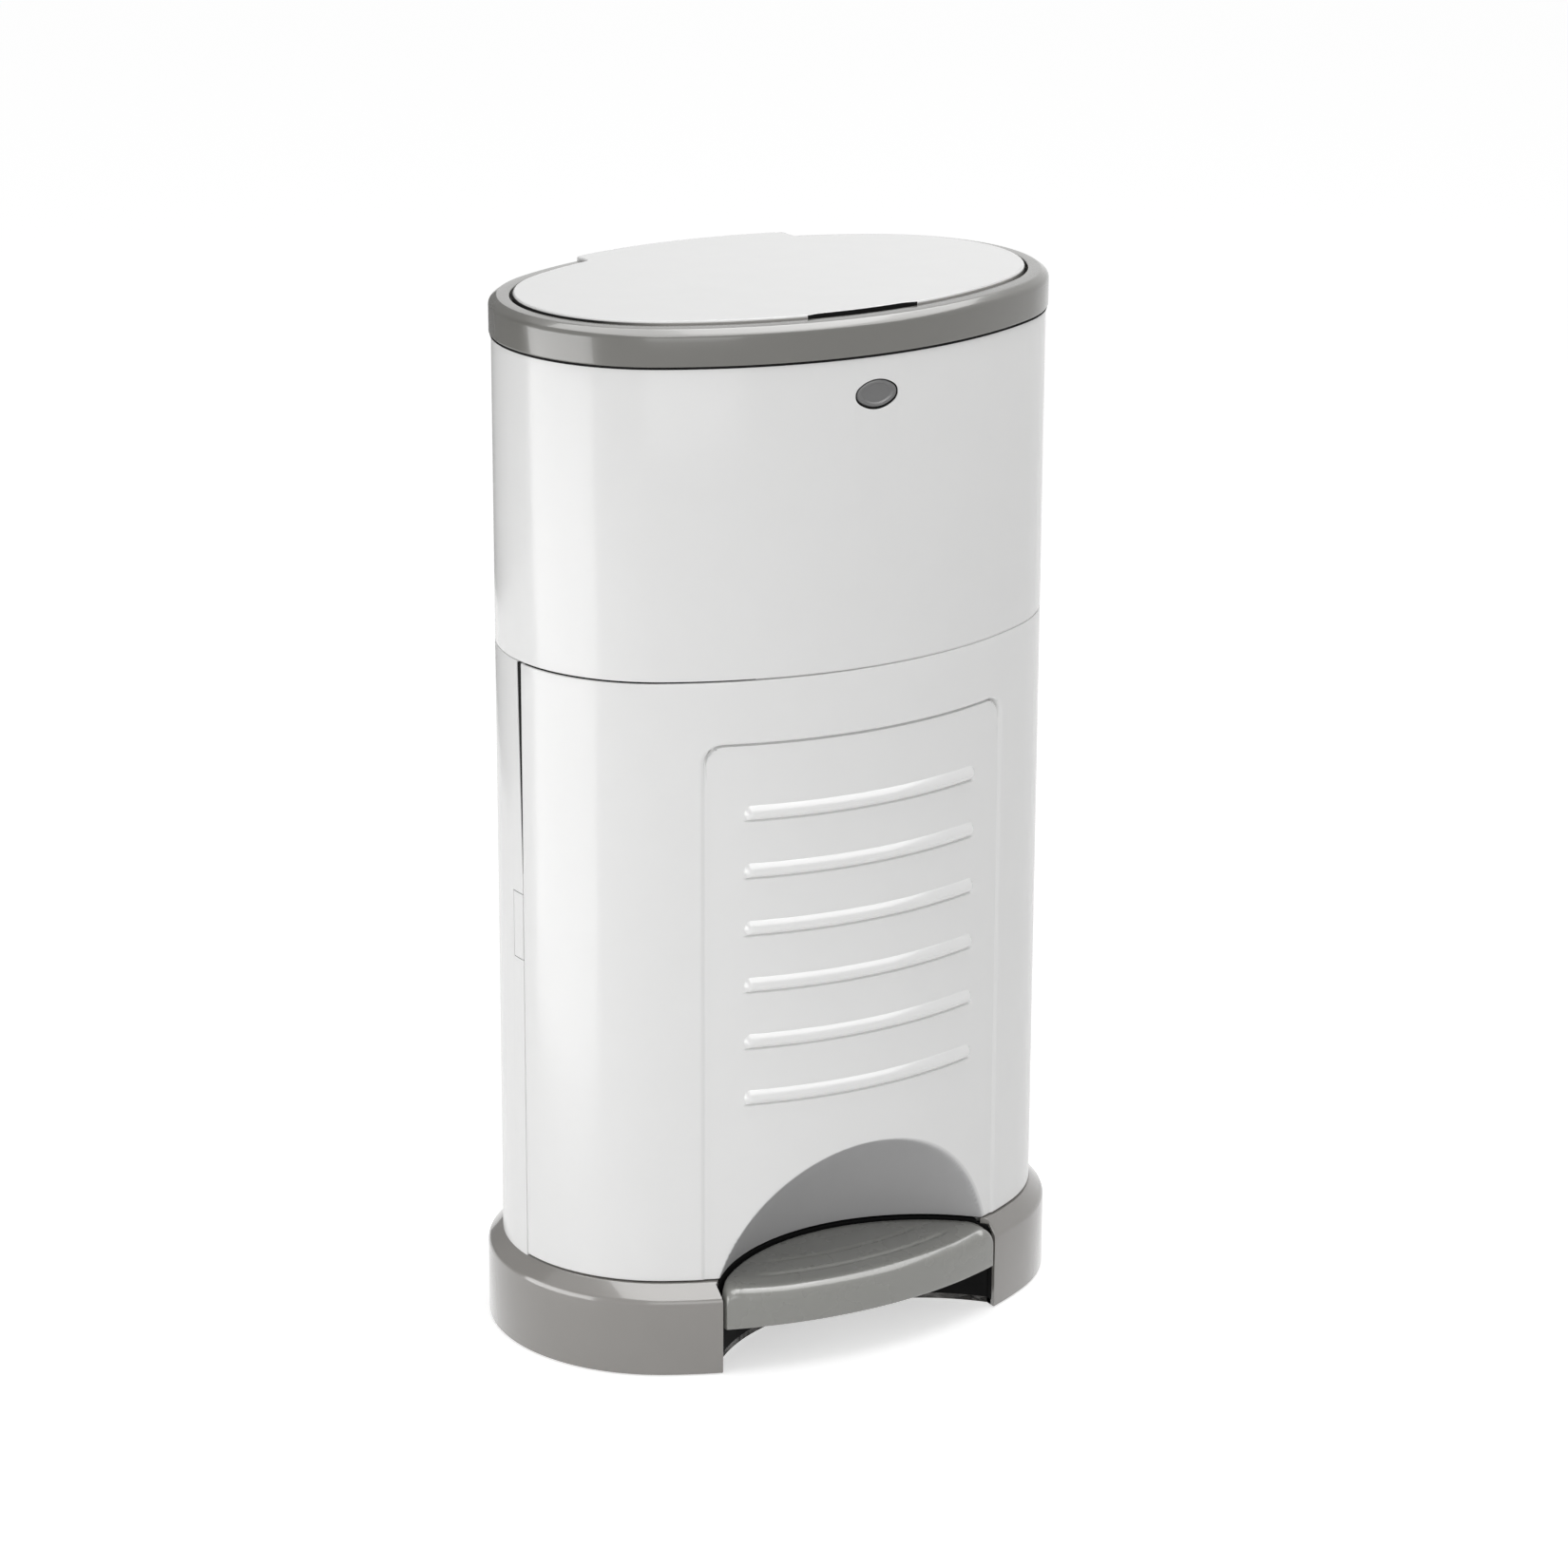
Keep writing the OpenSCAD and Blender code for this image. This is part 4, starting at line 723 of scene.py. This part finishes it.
# Painted shade: a dark band in the gap under the lid's edge, and a dark sheet in the finger slot
profile = stripProfile(lid["out"] + 0.3, lid["bandFoot"], lid["out"] - 0.5, lid["top"] - lid["bandTop"])
near, far = turnAtX(lid["slotX"] + 0.5, lid["out"]), turnAtX(lid["tongueX"] + 3, lid["out"], back=True)
parts = [sweepOutline(profile, turnsBetween(start, end), False, lidShift)
         for start, end in ((near, far), (2 * pi - far, 2 * pi - near))]
makePiece("lidGapShadeBand", *joinParts(*parts), "lid_unit", "grey_seal", lidGapShadeFinish())
# a near-black sheet in the finger slot: painted shade
slotShadeBox = prismPart(slotLine(0.3) + slotLine(-0.6)[::-1], 527.0, lid["top"] - lid["slotShadeTop"])
makePiece("fingerSlotShade", *slotShadeBox, "lid_unit", "grey_seal")
print("lid made")

# Front door: a shell with a sunken panel, rounded ribs and a ball-shaped scoop for the toe
door = {"foot": 48.2, "top": 359.8, "wall": 4.0, "edge": 0.7, "leftY": -5.4, "rightY": -5.4,
        "panelX": 86.5, "panelTop": 328.5, "panelRadius": 10.0, "panelDepth": 1.2, "panelSlope": 2.2,
        "slitFrom": 0.5, "slitWide": 1.25, "slitDeep": 2.4, "ribs": 6, "ribX": 67.3, "ribTop": 292.6,
        "ribStep": 29.65, "ribHigh": 7.0, "ribRise": 2.8, "ribCrest": -0.15, "ribBend": 1.5, "ribSlit": 1.5,
        "ribSink": 0.15, "ribFoot": 0.6, "scoopY": -154.3, "scoopZ": 14.8, "scoopRadius": 111.2,
        "scoopWall": 2.5, "lip": 1.1}


def spread(stops):
    # values between the stops, each (value, step up to the next)
    made = []
    for (a, step), (b, _) in zip(stops, stops[1:]):
        n = max(1, round(abs(b - a) / step))
        made += [a + (b - a) * i / n for i in range(n)]
    return made + [stops[-1][0]]


def edgeLoop(wide, tall):
    # indices round the edge of a grid of tall rows with wide points each
    return ([k for k in range(wide)] + [i * wide + wide - 1 for i in range(1, tall)]
            + [(tall - 1) * wide + k for k in range(wide - 2, -1, -1)]
            + [i * wide for i in range(tall - 2, 0, -1)])


def panelSink(x, z):
    # depth of the sunken panel, with rounded top corners and a slit along its top
    r = door["panelRadius"]
    dx, dz = abs(x) - (door["panelX"] - r), z - (door["panelTop"] - r)
    outside = hypot(max(dx, 0), max(dz, 0)) + min(max(dx, dz), 0) - r
    sink = door["panelDepth"] * smoothStep(0.5 - outside / door["panelSlope"])
    within = (-outside - door["slitFrom"]) / door["slitWide"]
    if 0 < within < 1:
        reach = smoothStep((z - door["panelTop"] + 1.6 * r) / (1.2 * r))
        sink += door["slitDeep"] * reach * smoothStep(min(within, 1 - within) * 4.5)
    # a fine slit under each rib
    k = round((door["ribTop"] - z) / door["ribStep"])
    if 0 <= k < door["ribs"]:
        below = door["ribTop"] - k * door["ribStep"] - door["ribHigh"] / 2 - 0.6 - z
        reach = smoothStep((door["ribX"] + 0.5 - abs(x)) / 3)
        sink += door["ribSlit"] * reach * smoothStep(1 - abs(below) / 0.9)
    return sink


def ribParts():
    # the ribs: bars with a ridge along them and rounded ends, set on the panel
    half, parts = door["ribHigh"] / 2 + 0.3, []
    alongs = spread([(0.0, 2.5), (door["ribX"] - half - 1, 0.5), (door["ribX"] + 0.3, 0.5)])
    alongs = [-a for a in alongs[:0:-1]] + alongs
    ups = [half * k / 9 for k in range(-9, 10)]
    for k in range(door["ribs"]):
        zRib = door["ribTop"] - k * door["ribStep"]
        points = []
        for low in (False, True):
            for x in alongs:
                for up in ups:
                    ends = max(0.0, abs(x) - (door["ribX"] - half)) / half
                    rise = up / half - door["ribCrest"]
                    rise = rise / (1 - door["ribCrest"]) if rise > 0 else -rise / (1 + door["ribCrest"])
                    shape = max(0.0, 1 - hypot(ends, rise) ** door["ribBend"])
                    high = door["ribSink"] - (door["ribRise"] + door["ribSink"]) * shape
                    sink = door["panelDepth"] + (door["ribFoot"] if low else high)
                    points.append((*outlinePoint(turnAtX(x), -sink), zRib + up))
        m, n = len(alongs), len(ups)
        faces = []
        for i in range(m - 1):
            for u in range(n - 1):
                p = i * n + u
                faces.append((p, p + n, p + n + 1, p + 1))
                q = p + m * n
                faces.append((q, q + 1, q + n + 1, q + n))
        loop = edgeLoop(n, m)
        for p, q in zip(loop, loop[1:] + loop[:1]):
            faces.append((p, q, q + m * n, p + m * n))
        parts.append((points, faces))
    return parts


def scoopSink(x, y, nx, ny, z):
    # how far inwards from the door's face the ball of the scoop lies, negative outside it
    px, py, pz = x, y - door["scoopY"], z - door["scoopZ"]
    b = px * nx + py * ny
    c = px * px + py * py + pz * pz - door["scoopRadius"] ** 2
    if b * b - c < 0:
        return -30.0
    return b + sqrt(b * b - c)


def doorSink(turn, z):
    # how far inwards the door's face lies, and how far the scoop's ball does
    x, y = outlinePoint(turn)
    ball = scoopSink(x, y, sin(turn), -cos(turn), z)
    lip = door["lip"]
    scoop = 0.5 * (ball + sqrt(ball * ball + lip * lip)) if ball > -12 else 0.0
    return max(panelSink(x, z), scoop) if ball < 2.2 else scoop, ball


# Rows and columns of the door's grid, closer together where its face bends
zStops = [(door["foot"] + 0.7, 1.1), (125.0, 2.0), (door["ribTop"] - 5 * door["ribStep"] - 5.4, 0.3)]
for k in range(door["ribs"] - 1, -1, -1):
    zRib = door["ribTop"] - k * door["ribStep"]
    if k < door["ribs"] - 1:
        zStops.append((zRib - 5.4, 0.3))
    zStops += [(zRib - 2.8, 2.5), (zRib + 5, 6.0)]
zStops += [(door["panelTop"] - 12, 1.0), (door["panelTop"] - 2.4, 0.2), (door["panelTop"] + 1.2, 8.0),
           (door["top"] - 0.7, 1.0)]
heights = spread(zStops)
xStops = [(0.0, 1.5), (60.0, 1.5), (63.0, 0.7), (69.0, 1.5), (76.0, 0.8), (83.7, 0.25), (87.9, 1.5), (97.0, 3.0),
          (118.0, 3.0)]
rightTurns = [turnAtX(x) for x in spread(xStops)]
lastRight, lastLeft = turnAtY(door["rightY"], 1), turnAtY(door["leftY"], 1)
e = door["edge"]
quarter = [(e * (1 - sin(pi / 2 * k / 3)), e * (1 - cos(pi / 2 * k / 3))) for k in range(4)]
endRadius = outline["endRadius"]
rightTurns += turnsBetween(rightTurns[-1], lastRight - e / endRadius)[1:]
leftTurns = [-t for t in rightTurns[1:]][::-1]
columns = [(-lastLeft + a / endRadius, d) for a, d in quarter[::-1][:3]]
columns += [(t, 0.0) for t in leftTurns + rightTurns] + [(lastRight - a / endRadius, d) for a, d in quarter[1:]]
rows = [(door["foot"] + a, d) for a, d in quarter[::-1][:3]] + [(z, 0.0) for z in heights]
rows += [(door["top"] - a, d) for a, d in quarter[1:]]
points, insides = [], []
for z, dz in rows:
    for t, dt in columns:
        sink, ball = doorSink(t, z)
        points.append((*outlinePoint(t, -max(sink, dz, dt)), z))
        inner = max(door["wall"], sink + door["scoopWall"]) if ball > -6 else door["wall"]
        insides.append((*outlinePoint(t, -inner), z))
count = len(points)
points += insides
wide, tall = len(columns), len(rows)
faces = []
for i in range(tall - 1):
    for k in range(wide - 1):
        p = i * wide + k
        faces.append((p, p + 1, p + wide + 1, p + wide))
        q = p + count
        faces.append((q, q + wide, q + wide + 1, q + 1))
loop = edgeLoop(wide, tall)
for p, q in zip(loop, loop[1:] + loop[:1]):
    faces.append((p, p + count, q + count, q))
bead = rodPart("z", doorHinge["at"], doorHinge["radius"], door["foot"], door["top"])
frontDoor = makePiece("frontDoorShell", *joinParts((points, faces), bead), "door_unit", "white_shell",
                      doorFinish((0, door["scoopY"], door["scoopZ"]), door["scoopRadius"]), sharp=40)
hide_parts("front_door", "toe_recess")
makePiece("doorRibs", *joinParts(*ribParts()), "door_unit", "white_shell", finishes["rib_white"], sharp=50)
print("front door made:", len(frontDoor.data.polygons), "faces")

# Pedal: a tread with soft edges and shallow grooves, curved front and back, hollow below
pedal = {"halfX": 79.5, "top": 46.0, "foot": 24.0, "corner": 8.0, "front": 7.4, "crown": 1.3, "rear": 1.2,
         "out": 8.5, "backY": -154.3, "backR": 104.5, "thick": 3.0, "roof": 43.0, "even": 30,
         "grooves": (-21.6, -6.8), "grooveWide": 2.3, "grooveDeep": 0.9, "grooveX": (47.0, 58.0),
         "grooveEnd": 8}
pedalRows = spread([(2.0, 1.2), (-4.4, 0.4), (-9.2, 2.0), (-19.0, 0.4), (-24.2, 2.2), (-57.0, 2.2)])


def pedalSection(x, top, hollow):
    # closed section across the pedal at x: from the front foot over the tread to the rear foot, then inside
    foot, front = pedal["foot"], frontY(x, pedal["out"])
    back = pedal["backY"] + sqrt(pedal["backR"] ** 2 - x * x)
    f = min(pedal["front"], (back - front) * 0.4)
    b = min(pedal["rear"], (back - front) * 0.2)
    section = [(front + 0.8, foot), (front + 0.25, foot + 0.25), (front, foot + 0.8)]
    section += [(front, foot + (top - 1.5 - f - foot) * k / 3) for k in (1, 2)]
    drop = pedal["crown"] * min(1, (back - b - front - f) / pedal["even"])
    quarter = [pi / 2 * k / 8 for k in range(9)]
    section += [(front + f * (1 - cos(t)), top - drop - f * (1 - sin(t))) for t in quarter]
    y0, y1 = front + f, back - b
    for out in pedalRows:
        # where the pedal is narrow the rows close up, and stay in order by a hair
        y = min(max(frontY(x, out), y0 + 0.002 * len(section)), y1 - 0.002 * (200 - len(section)))
        z = top - pedal["crown"] * (1 - (y - y0) / max(1, y1 - y0)) ** 3 * min(1, (y1 - y0) / pedal["even"])
        for groove, reach in zip(pedal["grooves"], pedal["grooveX"]):
            d = abs(out - groove) / pedal["grooveWide"]
            if d < 1:
                end = smoothStep((reach - abs(x)) / pedal["grooveEnd"])
                z -= pedal["grooveDeep"] * (1 - smoothStep(d)) * end
        section.append((y, z))
    section += [(back - b * (1 - sin(pi / 2 * k / 4)), top - b * (1 - cos(pi / 2 * k / 4))) for k in range(5)]
    t = pedal["thick"]
    inTop, iy0, iy1 = min(top, pedal["roof"] + t) - t, front + t, back - t
    if not hollow or iy1 < iy0 + 1:
        middle = (front + back) / 2
        iy0, iy1, inTop = middle - 0.4, middle + 0.4, foot + 0.02
    section += [(back, foot + 0.6), (back - 0.6, foot)]
    return section + [(iy1, foot), (iy1, inTop), (iy0, inTop), (iy0, foot)]


# Stations from the middle to the end: x, height of the tread there, and whether it is hollow below
stations = [(x, pedal["top"], True) for x in spread([(0.0, 2.0), (60.0, 1.0), (71.5, 1.0)])]
for k in range(1, 13):
    t = pi / 2 * k / 12
    x = pedal["halfX"] - pedal["corner"] + pedal["corner"] * sin(t)
    stations.append((x, pedal["top"] - pedal["corner"] * (1 - cos(t)), x < pedal["halfX"] - pedal["thick"]))
stations = [(-x, z, h) for x, z, h in stations[:0:-1]] + stations
points = [(x, y, z) for x, top, hollow in stations for y, z in pedalSection(x, top, hollow)]
n = len(points) // len(stations)
faces = loftFaces(n, len(stations)) + [tuple(range(n)), tuple((len(stations) - 1) * n + k for k in range(n))]
pedalTread = makePiece("pedalTread", points, faces, "pedal_unit", "pedal_grey", sharp=48)
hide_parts("pedal")
print("pedal made")

# Camera at the photograph's place: a long lens, from the left and a little above
camera = {"around": -31.17, "up": 17.78, "roll": 0.24, "distance": 2578.76, "pivot": 265.0,
          "shiftX": -6.98, "shiftY": -7.4, "focal": 5335.83, "frame": 1650, "sensor": 36.0}
a, e, r = radians(camera["around"]), radians(camera["up"]), radians(camera["roll"])
back = Vector((sin(a) * cos(e), -cos(a) * cos(e), sin(e)))
right = Vector((cos(a), sin(a), 0))
up = back.cross(right)
rightR, upR = right * cos(r) + up * sin(r), up * cos(r) - right * sin(r)
place = Vector((0, 0, camera["pivot"])) + back * camera["distance"]
place = place - rightR * camera["shiftX"] - upR * camera["shiftY"]
lens = bpy.data.cameras.new("camera")
lens.sensor_width, lens.sensor_fit = camera["sensor"], "HORIZONTAL"
lens.lens = camera["focal"] * camera["sensor"] / camera["frame"]
lens.clip_start, lens.clip_end = 0.05, 50
cameraObject = bpy.data.objects.new("camera", lens)
bpy.context.scene.collection.objects.link(cameraObject)
turn = Matrix((rightR, upR, back)).transposed().to_4x4()
cameraObject.matrix_world = Matrix.Translation(place * mm) @ turn
bpy.context.scene.camera = cameraObject
bpy.context.scene.view_settings.view_transform = "Standard"

# Floor, world and studio lamps
studio = {"floor": 0.9, "floorSize": 6.0, "floorGlow": 0.53, "world": 0.5}


def directRays(tree, path):
    # 1 for what the camera, a reflection or a clear piece looks at, 0 for soft light
    total = path.outputs["Is Camera Ray"]
    for name in ("Is Glossy Ray", "Is Transmission Ray"):
        add = tree.nodes.new("ShaderNodeMath")
        add.operation, add.use_clamp = "ADD", True
        tree.links.new(total, add.inputs[0])
        tree.links.new(path.outputs[name], add.inputs[1])
        total = add.outputs[0]
    return total


def stageFace(name, corners):
    # a single face of the studio
    mesh = bpy.data.meshes.new(name)
    mesh.from_pydata(corners, [], [(0, 1, 2, 3)])
    face = bpy.data.objects.new(name, mesh)
    bpy.context.scene.collection.objects.link(face)
    face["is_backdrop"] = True
    return face


s = studio["floorSize"]
floorPlane = stageFace("floor", [(-s, -s, 0), (s, -s, 0), (s, s, 0), (-s, s, 0)])
paper = bpy.data.materials.new("paper")
paper.use_nodes = True
tree = paper.node_tree
tree.nodes.clear()
out = tree.nodes.new("ShaderNodeOutputMaterial")
matte = tree.nodes.new("ShaderNodeBsdfDiffuse")
matte.inputs["Color"].default_value = (studio["floor"],) * 3 + (1,)
glow = tree.nodes.new("ShaderNodeEmission")
glow.inputs["Strength"].default_value = studio["floorGlow"]
both = tree.nodes.new("ShaderNodeAddShader")
plain = tree.nodes.new("ShaderNodeMixShader")
path = tree.nodes.new("ShaderNodeLightPath")
tree.links.new(matte.outputs[0], both.inputs[0])
tree.links.new(glow.outputs[0], both.inputs[1])
tree.links.new(directRays(tree, path), plain.inputs[0])
tree.links.new(matte.outputs[0], plain.inputs[1])
tree.links.new(both.outputs[0], plain.inputs[2])
tree.links.new(plain.outputs[0], out.inputs[0])
floorPlane.data.materials.append(paper)
floorPlane.visible_glossy = False
# The camera and reflections see a white world, and its soft light is weaker
world = bpy.data.worlds.new("world")
bpy.context.scene.world = world
world.use_nodes = True
tree = world.node_tree
tree.nodes.clear()
out = tree.nodes.new("ShaderNodeOutputWorld")
seen = tree.nodes.new("ShaderNodeBackground")
seen.inputs["Color"].default_value = (1, 1, 1, 1)
soft = tree.nodes.new("ShaderNodeBackground")
soft.inputs["Color"].default_value = (1, 1, 1, 1)
soft.inputs["Strength"].default_value = studio["world"]
mix = tree.nodes.new("ShaderNodeMixShader")
path = tree.nodes.new("ShaderNodeLightPath")
tree.links.new(directRays(tree, path), mix.inputs[0])
tree.links.new(soft.outputs[0], mix.inputs[1])
tree.links.new(seen.outputs[0], mix.inputs[2])
tree.links.new(mix.outputs[0], out.inputs[0])
# Each lamp: place of its middle, what it faces, width and height in metres, watts, and its use: it
# lights only the colours (matte), shows only in reflections (shine), or both (all)
lamps = {
    "sideBox": ((-1.1, 0.22, 0.14), (0, 0.22, 0.14), 1.05, 0.72, 4.4, "all"),
    "sideCard": ((-1.12, 0.22, 0.115), (0, 0.22, 0.115), 1.05, 0.77, 4.8, "shine"),
    "skyCard": ((0.3, -0.35, 2.2), (0.3, -0.35, 0.5), 3.2, 3.1, 126.0, "shine"),
    "topBox": ((0.35, -0.1, 1.75), (0.1, 0, 0.5), 1.3, 0.7, 7.2, "all"),
    "frontBox": ((-1.0, -2.2, 0.75), (0, 0, 0.2), 1.4, 1.2, 8.6, "all"),
    "lowBox": ((-0.45, -0.75, 0.05), (0, 0, 0.05), 1.2, 0.1, 0.55, "matte"),
}
for name, (at, aim, wide, tall, watts, use) in lamps.items():
    light = bpy.data.lights.new(name, "AREA")
    light.shape, light.size, light.size_y, light.energy = "RECTANGLE", wide, tall, watts
    lamp = bpy.data.objects.new(name, light)
    bpy.context.scene.collection.objects.link(lamp)
    lamp.location = at
    lamp.visible_camera = False
    lamp.visible_glossy = use != "matte"
    if use == "shine":
        lamp.visible_diffuse = lamp.visible_transmission = False
    lamp.rotation_mode = "QUATERNION"
    lamp.rotation_quaternion = (Vector(aim) - Vector(at)).to_track_quat("-Z", "Y")
# Dark card behind and to the left, seen only in reflections: it darkens the far edges of the glossy greys
darkCard = {"from": (-1.39, 1.01), "to": (0.42, 1.45), "low": -0.04, "high": 1.6, "grey": 0.25}
(cx0, cy0), (cx1, cy1) = darkCard["from"], darkCard["to"]
low, high = darkCard["low"], darkCard["high"]
card = stageFace("darkCard", [(cx0, cy0, low), (cx1, cy1, low), (cx1, cy1, high), (cx0, cy0, high)])
cardPaint = bpy.data.materials.new("darkCard")
cardPaint.use_nodes = True
cardPaint.node_tree.nodes["Principled BSDF"].inputs["Base Color"].default_value = (darkCard["grey"],) * 3 + (1,)
card.data.materials.append(cardPaint)
card.visible_camera = card.visible_diffuse = card.visible_shadow = card.visible_transmission = False
print("camera, floor and lamps set")

# CAD nodes that stay take the finish of their slot
for part in frame["record"]["subparts"]:
    node = nodes[part["node"]]
    if node.hide_render:
        continue
    for s in node.material_slots:
        s.material = finishes[part["material_slot"]]
    if not node.material_slots:
        node.data.materials.append(finishes[part["material_slot"]])

low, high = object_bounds()
